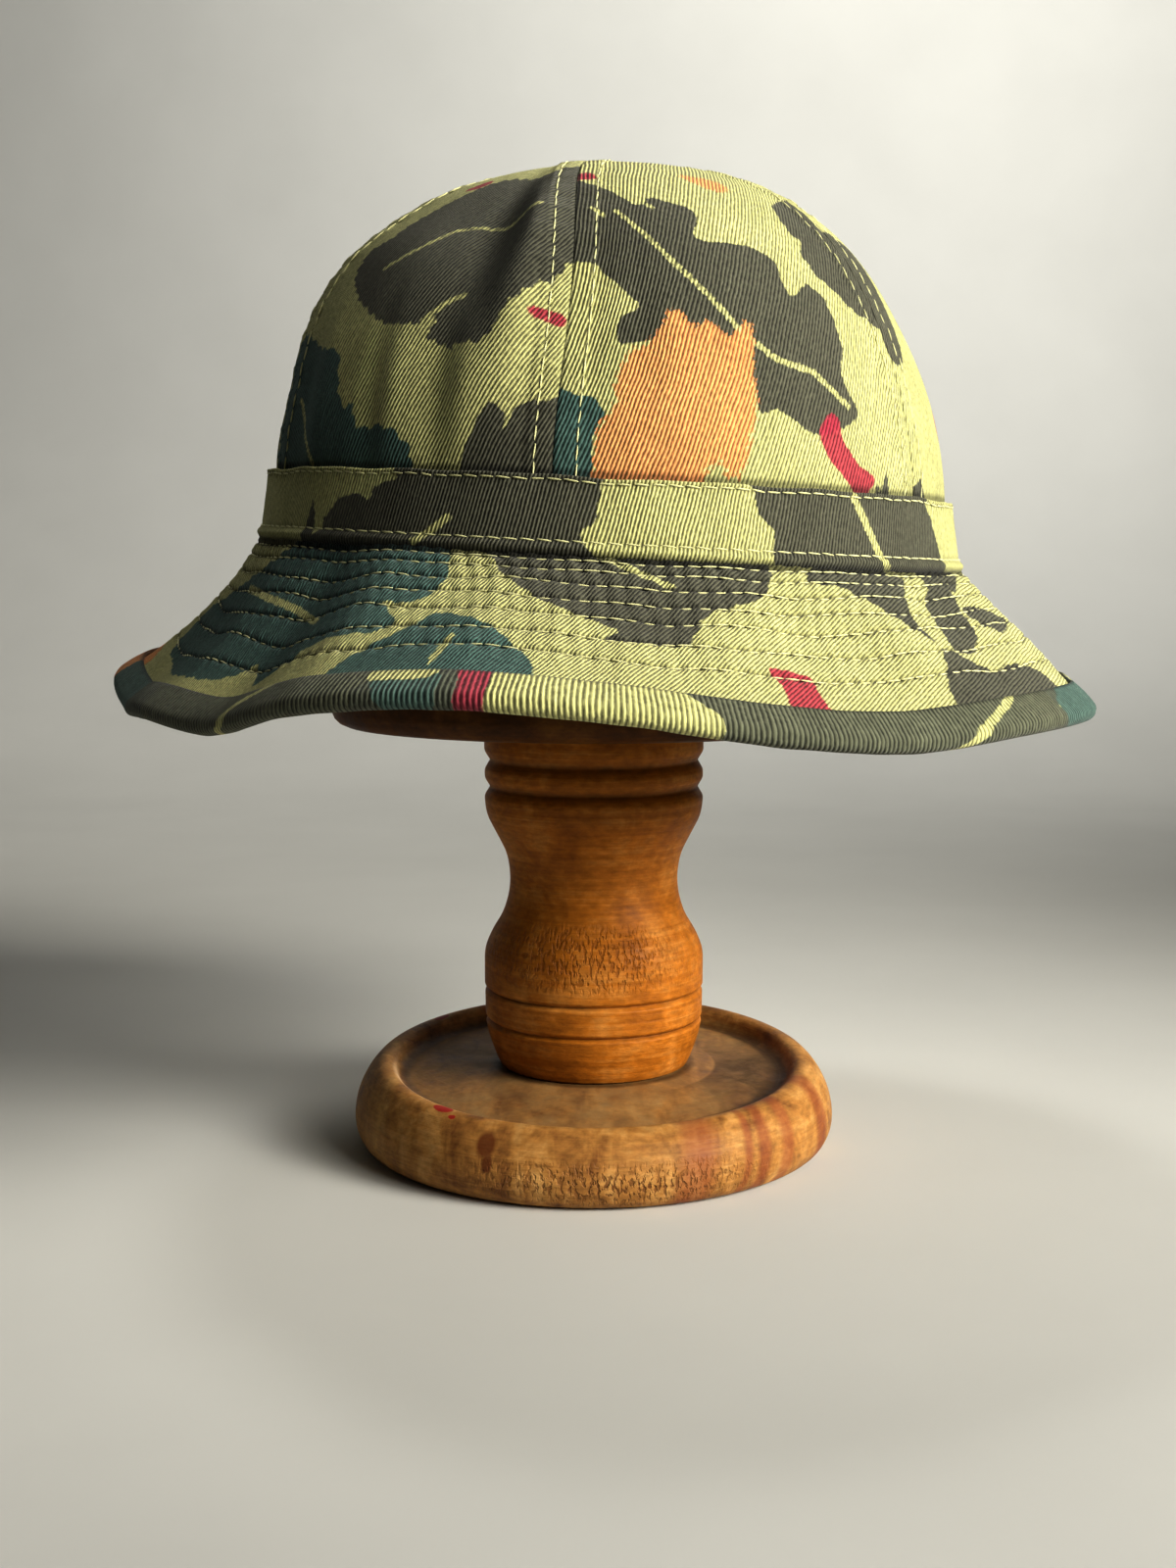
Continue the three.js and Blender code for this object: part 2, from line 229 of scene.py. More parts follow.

# Marks that can lie on the wood, each laid over the last: colour, the amounts where it starts and is full,
# and how far it covers then. They are a greyed tray, reddish bands, a worn edge that also carries a painted
# highlight, painted shade in the hollows with grime on the tray, stain and red paint.
WOOD_MARKS = [
    ("tray", "7C6648", 0.75, 1.15, 0.8), ("band", "86452A", 0.2, 0.9, 0.6), ("worn", "DCC09A", 0.2, 0.9, 0.7),
    ("dirt_and_shade", "2E1605", 0.25, 0.9, 0.75), ("stain", "5A2410", 0.2, 0.7, 0.8),
    ("paint", "9A1C22", 0.45, 0.6, 0.9),
]
MARK_RAGGED = 0.9

# Sizes of the wood's patterns along each axis: tool rings 1.6 mm apart, stain clouds, worn flecks and nicks.
RING_MM = (142.9, 142.9, 1.613)
CLOUD_MM = (12.5, 12.5, 12.5)
FLECK_MM = (3.03, 3.03, 1.282)
NICK_MM = (1.0526, 2.381, 1)
NICK_TURN = -0.35
NICK_DEPTH = -4.0
FIGURE_TURN = 0.12
WOOD_RELIEF = 0.3


def rounded_outline(rows):
    """A profile's points, with its corners rounded and its long lines cut into short steps."""
    rows = np.array(rows, float)
    line = [rows[0, :2]]
    for before, corner, after in zip(rows[:-2], rows[1:-1], rows[2:]):
        back = before[:2] - corner[:2]
        ahead = after[:2] - corner[:2]
        start = corner[:2] + back * min(CORNER_MOST, corner[2] / np.linalg.norm(back))
        end = corner[:2] + ahead * min(CORNER_MOST, corner[2] / np.linalg.norm(ahead))
        for t in np.linspace(0, 1, CORNER_STEPS):
            line.append((1 - t) ** 2 * start + 2 * t * (1 - t) * corner[:2] + t * t * end)
    line.append(rows[-1, :2])
    points = [line[0]]
    for start, end in zip(line[:-1], line[1:]):
        pieces = max(1, math.ceil(np.linalg.norm(end - start) / PROFILE_STEP))
        points += [start + (end - start) * k / pieces for k in range(1, pieces + 1)]
    return np.array(points)


def store(mesh, name, values):
    """Keeps one value for each vertex under a name that a material can read."""
    layer = mesh.attributes.new(name, "FLOAT", "POINT")
    layer.data.foreach_set("value", np.asarray(values, np.float32).ravel())


def turned_piece(name, outline, sides, material, marks, lean=None):
    """A lathe-turned solid about the stand's axis. marks maps an attribute's name to a rule of azimuth,
    radius and height in millimetres; the UV map holds millimetres round and along the outline. lean moves
    the finished points."""
    middle = outline[1:-1]
    az = np.linspace(BACK, BACK + 360, sides, endpoint=False)
    turn = np.radians(az)
    rings = np.stack([np.outer(middle[:, 0], np.cos(turn)), np.outer(middle[:, 0], np.sin(turn)),
                      np.repeat(middle[:, 1:], sides, 1)], -1).reshape(-1, 3)
    points = np.vstack([[[0, 0, outline[0, 1]]], rings, [[0, 0, outline[-1, 1]]]])
    count = len(middle)
    faces = []
    corners = []
    along = np.cumsum(np.r_[0, np.hypot(*np.diff(outline, axis=0).T)])
    width = np.radians(360 / sides) * middle[:, 0].max()
    for j in range(sides):
        k = (j + 1) % sides
        faces.append((0, 1 + k, 1 + j))
        corners += [(width * j, along[0]), (width * (j + 1), along[1]), (width * j, along[1])]
        for i in range(count - 1):
            low, high = 1 + i * sides, 1 + (i + 1) * sides
            faces.append((low + j, low + k, high + k, high + j))
            corners += [(width * j, along[i + 1]), (width * (j + 1), along[i + 1]),
                        (width * (j + 1), along[i + 2]), (width * j, along[i + 2])]
        high = 1 + (count - 1) * sides
        faces.append((high + j, high + k, len(points) - 1))
        corners += [(width * j, along[-2]), (width * (j + 1), along[-2]), (width * j, along[-1])]
    shape = lean(points) if lean else points
    piece = link_mesh(name, (shape * MM).tolist(), faces, material)
    uv = piece.data.uv_layers.new(name="turned")
    uv.data.foreach_set("uv", np.array(corners, float).ravel())
    every_az = np.r_[BACK, np.tile(az, count), BACK]
    every_r = np.hypot(points[:, 0], points[:, 1])
    for mark, rule in marks.items():
        store(piece.data, mark, rule(every_az, every_r, points[:, 2]))
    return piece


def azimuth_from(az, middle):
    """Signed degrees from a middle azimuth."""
    return (az - middle + 180) % 360 - 180


def hump(x, spread):
    """A soft hill: 1 where x is 0, and about a third at the spread."""
    return np.exp(-(x / spread) ** 2)


def smooth(x):
    """A soft step from 0 to 1 as x goes from 0 to 1."""
    x = np.clip(x, 0, 1)
    return x * x * (3 - 2 * x)


def spot_cover(spots):
    """The rule of a mark that is 1 in the middle of each spot and falls to 0 at its edge."""
    def rule(az, r, z):
        cover = np.zeros_like(az)
        for middle, radius, height, half_width, half_height in spots:
            round_mm = np.radians(azimuth_from(az, middle)) * r / half_width
            away = np.hypot(r - radius, z - height) / half_height
            cover = np.maximum(cover, SPOT_REACH - np.hypot(round_mm, away))
        return np.clip(cover, 0, 1)
    return rule


def varnished_wood(name, dark, middle, pale, spread, ring_share, figure_mm, figure_share):
    """Turned softwood under old varnish: fine rings left by the tool, cloudy stain that has gone in
    unevenly, darker streaks of the grain, painted shade and some grime in the hollows, and torn fibres where
    the tool chattered."""
    material, tree, sockets = start_material(name, {"Specular IOR Level": 0.14})
    place = add(tree, "ShaderNodeTexCoord").outputs["Object"]
    # Rings, stain clouds, worn flecks and the streaks of the figure: size along each axis, turn, detail,
    # roughness and distortion.
    fields = []
    for size_mm, turn, detail, roughness, distortion in (
            (RING_MM, 0.0, 5.0, 0.7, 0.0), (CLOUD_MM, 0.0, 7.0, 0.68, 0.5), (FLECK_MM, 0.0, 3.0, 0.6, 0.0),
            (figure_mm, FIGURE_TURN, 3.0, 0.5, 0.8)):
        at = add(tree, "ShaderNodeMapping", {"Vector": place, "Rotation": (0, turn, 0),
                                             "Scale": [1 / (size * MM) for size in size_mm]})
        field = add(tree, "ShaderNodeTexNoise", {"Vector": at.outputs[0], "Scale": 1.0, "Detail": detail,
                                                 "Roughness": roughness, "Distortion": distortion})
        fields.append(field.outputs["Fac"])
    rings, clouds, flecks, figure = fields
    soft = add(tree, "ShaderNodeMix", {"Factor": ring_share, "A": clouds, "B": rings})
    tone = add(tree, "ShaderNodeMix", {"Factor": figure_share, "A": soft.outputs["Result"], "B": figure})
    ramp = add(tree, "ShaderNodeValToRGB", {"Fac": tone.outputs["Result"]})
    stops = ramp.color_ramp.elements
    stops[0].position, stops[0].color = 0.5 - spread, linear(dark)
    stops[1].position, stops[1].color = 0.5 + spread, linear(pale)
    stops.new(0.5).color = linear(middle)
    worn = add(tree, "ShaderNodeMapRange", {"Value": flecks, "From Min": 0.34, "From Max": 0.66,
                                            "To Min": 0.8, "To Max": 1.16})
    colour = add(tree, "ShaderNodeVectorMath", {0: ramp.outputs["Color"], 3: worn.outputs["Result"]},
                 operation="SCALE").outputs[0]
    for mark, tint, low, high, most in WOOD_MARKS:
        amount = add(tree, "ShaderNodeAttribute", attribute_name=mark)
        ragged = add(tree, "ShaderNodeMath", {0: clouds, 1: MARK_RAGGED, 2: amount.outputs["Fac"]},
                     operation="MULTIPLY_ADD")
        cover = add(tree, "ShaderNodeMapRange", {"Value": ragged.outputs[0], "To Max": most,
                                                 "From Min": low + MARK_RAGGED / 2,
                                                 "From Max": high + MARK_RAGGED / 2})
        laid = add(tree, "ShaderNodeMix", {"Factor": cover.outputs["Result"], "A": colour, "B": linear(tint)},
                   data_type="RGBA")
        colour = laid.outputs["Result"]
    # Torn fibres: short slanting nicks, only where the tool chattered.
    turned = add(tree, "ShaderNodeUVMap", uv_map="turned").outputs["UV"]
    nick_place = add(tree, "ShaderNodeMapping", {"Vector": turned, "Rotation": (0, 0, NICK_TURN),
                                                 "Scale": [1 / size for size in NICK_MM]})
    nicks = add(tree, "ShaderNodeTexNoise", {"Vector": nick_place.outputs[0], "Scale": 1.0, "Detail": 2.0})
    chatter = add(tree, "ShaderNodeAttribute", attribute_name="chatter")
    torn = add(tree, "ShaderNodeMapRange", {"Value": nicks.outputs["Fac"], "From Min": 0.5, "From Max": 0.6})
    torn_here = add(tree, "ShaderNodeMath", {0: torn.outputs["Result"], 1: chatter.outputs["Fac"]},
                    operation="MULTIPLY")
    shade = add(tree, "ShaderNodeMix", {"Factor": torn_here.outputs[0], "A": colour, "B": linear(dark)},
                data_type="RGBA")
    tree.links.new(shade.outputs["Result"], sockets["Base Color"])
    gloss = add(tree, "ShaderNodeMapRange", {"Value": clouds, "From Min": 0.3, "From Max": 0.7, "To Min": 0.4,
                                             "To Max": 0.62})
    tree.links.new(gloss.outputs["Result"], sockets["Roughness"])
    # Relief: the rings, the deep nicks and the fine grain.
    height = add(tree, "ShaderNodeMath", {0: torn_here.outputs[0], 1: NICK_DEPTH, 2: rings},
                 operation="MULTIPLY_ADD")
    grain = add(tree, "ShaderNodeMath", {0: flecks, 1: 0.7, 2: height.outputs[0]}, operation="MULTIPLY_ADD")
    relief = add(tree, "ShaderNodeBump", {"Height": grain.outputs[0], "Strength": 0.7,
                                          "Distance": WOOD_RELIEF * MM})
    tree.links.new(relief.outputs["Normal"], sockets["Normal"])
    return material


def finish_piece(piece, slot, *nodes):
    """Fixes a finished piece to the one rigid body and hides the imported parts that it stands for."""
    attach(piece, "root")
    if nodes:
        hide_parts(*nodes)


def base_chatter(az, r, z):
    """The front of the rim, low down, where the end grain tore."""
    front = np.clip(1.2 - np.abs(azimuth_from(az, TORN_AZ)) / TORN_HALF_AZ, 0, 1)
    return front * np.clip(1 - np.abs(z - TORN_Z) / TORN_HALF_Z, 0, 1) * (r > TORN_FROM_R)


def base_band(az, r, z):
    """Reddish bands of the figure down the rim."""
    cover = np.zeros_like(az)
    for middle, half_width in FIGURE_BANDS:
        away = azimuth_from(az, middle + FIGURE_SLANT * z) / half_width
        cover = np.maximum(cover, 1 - (away / FIGURE_SOFTNESS) ** 2)
    return np.clip(cover, 0, 1) * (r > FIGURE_FROM_R)


def base_worn_highlight(az, r, z):
    """The rubbed inner edge of the rim, painted pale as wear and as a highlight."""
    return hump(r - WORN_R, WORN_HALF_R) * hump(azimuth_from(az, WORN_AZ), WORN_HALF_AZ) * (z > WORN_FROM_Z)


def base_dirt_and_shade(az, r, z):
    """Painted shade round the column's foot and in the corner of the tray, and grime over the tray's right
    side.
    """
    foot = 0.8 * hump(r - SHADE_FOOT_R, 2.0)
    corner = 0.9 * hump(r - SHADE_CORNER_R, 2.2) * (z < SHADE_CORNER_TO_Z)
    right_side = 0.85 * hump(azimuth_from(az, DIRT_SIDE_AZ), DIRT_SIDE_HALF_AZ)
    right_side = right_side * ((r > DIRT_SIDE_FROM_R) & (r < BASE_TRAY_R))
    return np.where(z > BASE_UPPER_Z, np.maximum(foot, corner) + right_side, 0)


def lean_rim(points):
    """The rim and the tray's edge stand higher at the back than at the front; the seat stays level."""
    share = (np.hypot(points[:, 0], points[:, 1]) - BASE_SEAT_R) / (BASE_TRAY_R - BASE_SEAT_R)
    lift = smooth(share) * points[:, 2] / BASE_CREST_Z * (BASE_LEAN_RAISE + BASE_LEAN_PER_Y * points[:, 1])
    return points + lift[:, None] * np.array([0, 0, 1])


base_wood = varnished_wood("varnished_faced_pine", "704826", "A67840", "C69C60", spread=0.12, ring_share=0.3,
                           figure_mm=(6.667, 16.67, 71.43), figure_share=0.34)
base = turned_piece("stand_base_wood", rounded_outline(BASE_ROWS), BASE_SIDES, base_wood, {
    "tray": lambda az, r, z: np.clip((57 - r) / 5, 0, 1) * (z > BASE_UPPER_Z),
    "band": base_band,
    "worn": base_worn_highlight,
    "dirt_and_shade": base_dirt_and_shade,
    "stain": spot_cover(STAIN_RUNS),
    "paint": spot_cover(PAINT_DROPS),
    "chatter": base_chatter,
}, lean_rim)
finish_piece(base, "turned_wood", "stand_base")


# Stand column
# A waisted spindle turned between centres, with three beads parted by V cuts below the block and two fine
# scored lines above its foot. It stands in the base's tray and carries the block.

# Radius, height and reach of the corner's rounding.
COLUMN_ROWS = [
    (0, 21.9, 0), (26.2, 21.9, 0.4), (27.4, 24.4, 1.2), (29.4, 30, 2), (30.2, 33.8, 0.4), (29.1, 34.8, 0.2),
    (30.3, 35.8, 0.4), (30.4, 42.3, 0.4), (29.2, 43.3, 0.2), (30.5, 44.3, 0.4), (30.5, 54, 2.4),
    (28.4, 59, 2.6), (25.2, 64, 2.8), (23.5, 70, 2.4), (23.2, 75, 2.4), (24.1, 81, 2.8), (27.2, 87, 2.8),
    (29.8, 92, 2.4), (30.3, 97, 0.9), (28.7, 99.6, 0.5), (30.2, 102.2, 0.7), (30.2, 104.4, 0.7),
    (28.7, 107, 0.5), (30.3, 109.6, 0.8), (30.3, 113.6, 1.2), (29.4, 116.7, 0.3), (0, 116.7, 0),
]
COLUMN_SIDES = 224
COLUMN_FOOT_Z = 21.9
COLUMN_FOOT_END_Z = 32
COLUMN_SWELL_Z = 56
COLUMN_WAIST_END_Z = 94
COLUMN_TORN_AZ = 262
COLUMN_TORN_HALF_AZ = 50
COLUMN_TORN_HALF_Z = 6
CUT_WINDOW = 4.0
CUT_FULL = 2.0


def recess_depth(outline):
    """How far each point of an outline lies inside the outline's reach close above and below it."""
    near = np.abs(outline[:, None, 1] - outline[None, :, 1]) < CUT_WINDOW
    reach = np.where(near, outline[None, :, 0], 0).max(1)
    return reach - outline[:, 0]


column_outline = rounded_outline(COLUMN_ROWS)
column_recess = recess_depth(column_outline)


def column_painted_shade(az, r, z):
    """Painted shade in the cuts and round the foot, but not in the long hollows of the waist and the foot."""
    cut = np.interp(z, column_outline[1:-1, 1], column_recess[1:-1])
    hollow = ((z > COLUMN_SWELL_Z) & (z < COLUMN_WAIST_END_Z)) | (z < COLUMN_FOOT_END_Z)
    return np.where(hollow, 0, np.clip(cut / CUT_FULL, 0, 0.65)) + 0.5 * hump(z - COLUMN_FOOT_Z, 1.2)


def column_chatter(az, r, z):
    """The swelling below the waist, where the grain lifted."""
    front = np.clip(1.5 - np.abs(azimuth_from(az, COLUMN_TORN_AZ)) / COLUMN_TORN_HALF_AZ, 0.15, 1)
    return 0.55 * front * np.clip(1.6 - np.abs(z - COLUMN_SWELL_Z) / COLUMN_TORN_HALF_Z, 0, 1)


column_wood = varnished_wood("varnished_turned_pine", "723E0A", "A8681E", "D0954C", spread=0.2,
                             ring_share=0.45, figure_mm=(14.29, 14.29, 33.33), figure_share=0.25)
column = turned_piece("stand_column_wood", column_outline, COLUMN_SIDES, column_wood, {
    "dirt_and_shade": column_painted_shade,
    "chatter": column_chatter,
})
finish_piece(column, "turned_wood", "stand_column")


# Stand block
# The plain block inside the hat: a turned drum with a domed top that carries the crown. Only the rounded
# edge of its underside shows, below the brim.
BLOCK_FOOT_Z = 117
BLOCK_R = 72
BLOCK_EDGE = 6
BLOCK_WALL_Z = 206
BLOCK_TOP_Z = 262.1
BLOCK_SIDES = 128
BLOCK_DOME_STEPS = 12

dome = np.linspace(0, math.pi / 2, BLOCK_DOME_STEPS + 1)
block_rows = [(0, BLOCK_FOOT_Z, 0), (BLOCK_R, BLOCK_FOOT_Z, BLOCK_EDGE)]
block_rows += [(BLOCK_R * math.cos(a), BLOCK_WALL_Z + (BLOCK_TOP_Z - BLOCK_WALL_Z) * math.sin(a), 1)
               for a in dome]
block_wood = varnished_wood("varnished_block_pine", "361C04", "55320E", "714A1C", spread=0.12, ring_share=0.3,
                            figure_mm=(25, 62.5, 25), figure_share=0.4)
# The block's underside is darkened round the top of the column as painted shade.
block = turned_piece("stand_block_wood", rounded_outline(block_rows), BLOCK_SIDES, block_wood, {
    "dirt_and_shade": lambda az, r, z: 0.7 * hump(r - 30, 4) * (z < BLOCK_FOOT_Z + 3),
})
finish_piece(block, "turned_wood", "stand_block")


# Crown panels
# Six gores of heavy cotton twill, printed with a leaf camouflage before they were cut, so the print breaks
# at the seams. Each seam is folded to both sides of its line and sewn down with two rows of stitches.
CLOTH = 1.2
HAT_X = 4.4
BAND_Z = 164
BAND_RISE_PER_X = -0.05
BAND_RISE_PER_Y = 0.024
BAND_HEIGHT = 17
CROWN_R = 89.6
CROWN_RISE = 80
CROWN_ROUND = 1.75
CROWN_SQUARE = 3.1
CROWN_CAP = 2.6
CROWN_TOP_X = -1.6
CROWN_FOOT_R = 91.8
CROWN_SLOPE_STEP = 0.004
SEAM_RAISE = 0.45
SEAM_HALF_WIDTH = 5.2
SEAM_SHOULDER = 1.6
SEAM_CRACK = 0.3
SEAM_CRACK_WIDTH = 0.4
SEAM_STITCH_LEFT = 4.3
SEAM_STITCH_RIGHT = 5.4
SEAM_PHASE = 1.7
SEAMS = [200, 261, 325, 384, 442, 501]
FRONT_SEAM = SEAMS[1]
FRONT_SEAM_DRIFT = 2.5
FRONT_SEAM_SPREAD = 12
STITCH_SINK = 0.3
STITCH_SINK_WIDTH = 0.7
PUCKER_WIDTH = 5
KNOT_RISE = 1.3
KNOT_R = 7
GORE_COLUMNS = 96
GORE_ROWS = 138
GORE_LOW = -16

# The node of each gore, from the first seam round.
GORES = ["crown_panel_front_left", "crown_panel_front_right", "crown_panel_right", "crown_panel_back_right",
         "crown_panel_back_left", "crown_panel_left"]

# Soft dents: azimuth, height as a share of the crown's, half spreads of both and depth (a bulge is negative).
DENTS = [
    (188, 0.26, 26, 0.16, 1.3), (218, 0.86, 32, 0.13, 2.0), (245, 0.34, 13, 0.24, 1.6),
    (288, 0.5, 18, 0.3, -1.2), (350, 0.56, 22, 0.18, 0.8), (60, 0.55, 20, 0.22, 2.0),
    (118, 0.4, 18, 0.25, 1.6),
]

# Folds that stand on the band: azimuth, height share of the middle, half spreads and depth.
FOLDS = [
    (229.6, 0.2, 2.6, 0.22, 1.0), (233, 0.25, 3.0, 0.24, -0.7), (242.2, 0.22, 2.8, 0.24, 0.7),
    (246, 0.3, 3.0, 0.25, -0.9), (254.3, 0.74, 3.4, 0.14, -2.2), (252.3, 0.54, 4.0, 0.16, -1.8),
    (250, 0.33, 5.0, 0.2, -1.6), (247, 0.74, 4.5, 0.15, 2.4), (245.5, 0.55, 4.5, 0.16, 1.6),
    (240, 0.74, 9.0, 0.16, 1.6), (263, 0.42, 7.0, 0.3, 2.0), (209, 0.2, 3.5, 0.2, 1.0),
    (216, 0.3, 4.0, 0.2, -0.7), (274, 0.42, 3.6, 0.2, 0.7), (316, 0.3, 4.0, 0.25, 0.5),
    (334, 0.2, 4.0, 0.2, 0.6), (20, 0.3, 5.0, 0.25, 1.0), (45, 0.15, 4.0, 0.2, 0.8),
    (98, 0.25, 5.0, 0.25, 1.1), (150, 0.2, 4.0, 0.2, 0.9),
]

# Puckers along a stitch row: height in millimetres, turns per millimetre and share of the seam's phase.
SEAM_PUCKERS = [(0.16, 0.74, 1), (0.1, 1.9, 3)]


def crown_line(v):
    """Radius and height share of the plain dome, for v from the brim seam (-1) past the band's top (0) to the
    crown's top (1)."""
    reach = 1 - np.maximum(v, 0)
    up = (1 - reach ** CROWN_SQUARE) ** (1 / CROWN_ROUND) + CROWN_CAP / CROWN_RISE * np.maximum(v, 0) ** 2
    low_r = CROWN_R - (CROWN_FOOT_R - CROWN_R) * v
    return np.where(v < 0, low_r, CROWN_R * reach), np.where(v < 0, v * BAND_HEIGHT / CROWN_RISE, up)


# The dome's arc length from the band's top edge, so that places on the cloth are in flat millimetres.
arc_v = np.r_[np.linspace(-1, 0, 40)[:-1], np.linspace(0, 1, 3000) ** 2]
arc_r, arc_up = crown_line(arc_v)
arc_mm = np.cumsum(np.r_[0, np.hypot(np.diff(arc_r), np.diff(arc_up) * CROWN_RISE)])
arc_mm -= np.interp(0, arc_v, arc_mm)
CROWN_ARC = arc_mm[-1]


def crown_relief(az, v):
    """How far the cloth stands out of the plain dome: dents, folds, folded seams and stitch rows pressed into
    it.
    """
    r, up = crown_line(v)
    rise = np.interp(v, arc_v, arc_mm)
    out = np.zeros_like(az + v)
    for middle, height, spread_az, spread_up, depth in DENTS + FOLDS:
        out = out - depth * hump(azimuth_from(az, middle), spread_az) * hump(up - height, spread_up)
    from_seam = np.stack([np.radians(azimuth_from(az, seam)) * r for seam in SEAMS])
    nearest = np.abs(from_seam).argmin(0)
    side = np.take_along_axis(from_seam, nearest[None], 0)[0]
    distance = np.abs(side)
    from_row = distance - np.where(side < 0, SEAM_STITCH_LEFT, SEAM_STITCH_RIGHT)
    out = out + SEAM_RAISE * (1 - smooth((distance - SEAM_HALF_WIDTH) / SEAM_SHOULDER))
    out = out - SEAM_CRACK * hump(distance, SEAM_CRACK_WIDTH)
    out = out - STITCH_SINK * hump(from_row, STITCH_SINK_WIDTH)
    for size, turns, share in SEAM_PUCKERS:
        out = out + size * np.sin(rise * turns + share * SEAM_PHASE * nearest) * hump(from_row, PUCKER_WIDTH)
    return out + KNOT_RISE * hump(r, KNOT_R)


def crown_point(az, v, depth=0.0):
    """Points of the crown's cloth in millimetres, `depth` below its outer face."""
    r, up = crown_line(v)
    r_below, up_below = crown_line(np.maximum(-1, v - CROWN_SLOPE_STEP))
    r_above, up_above = crown_line(np.minimum(1, v + CROWN_SLOPE_STEP))
    dr = r_above - r_below
    dz = (up_above - up_below) * CROWN_RISE
    length = np.hypot(dr, dz)
    out = crown_relief(az, v) - depth
    fade = 1 - np.clip(up, 0, 1)
    # The front seam bows to the right half way up.
    near_front = hump(azimuth_from(az, FRONT_SEAM), FRONT_SEAM_SPREAD)
    turn = np.radians(az + FRONT_SEAM_DRIFT * near_front * np.sin(math.pi * (1 - fade) ** 1.5))
    x = (r + out * dz / length) * np.cos(turn)
    y = (r + out * dz / length) * np.sin(turn)
    tilt = (BAND_RISE_PER_X * x + BAND_RISE_PER_Y * y) * fade
    z = BAND_Z + BAND_HEIGHT + tilt + up * CROWN_RISE - out * dr / length
    return np.stack([HAT_X + CROWN_TOP_X * (1 - fade) + x, y, z], -1)


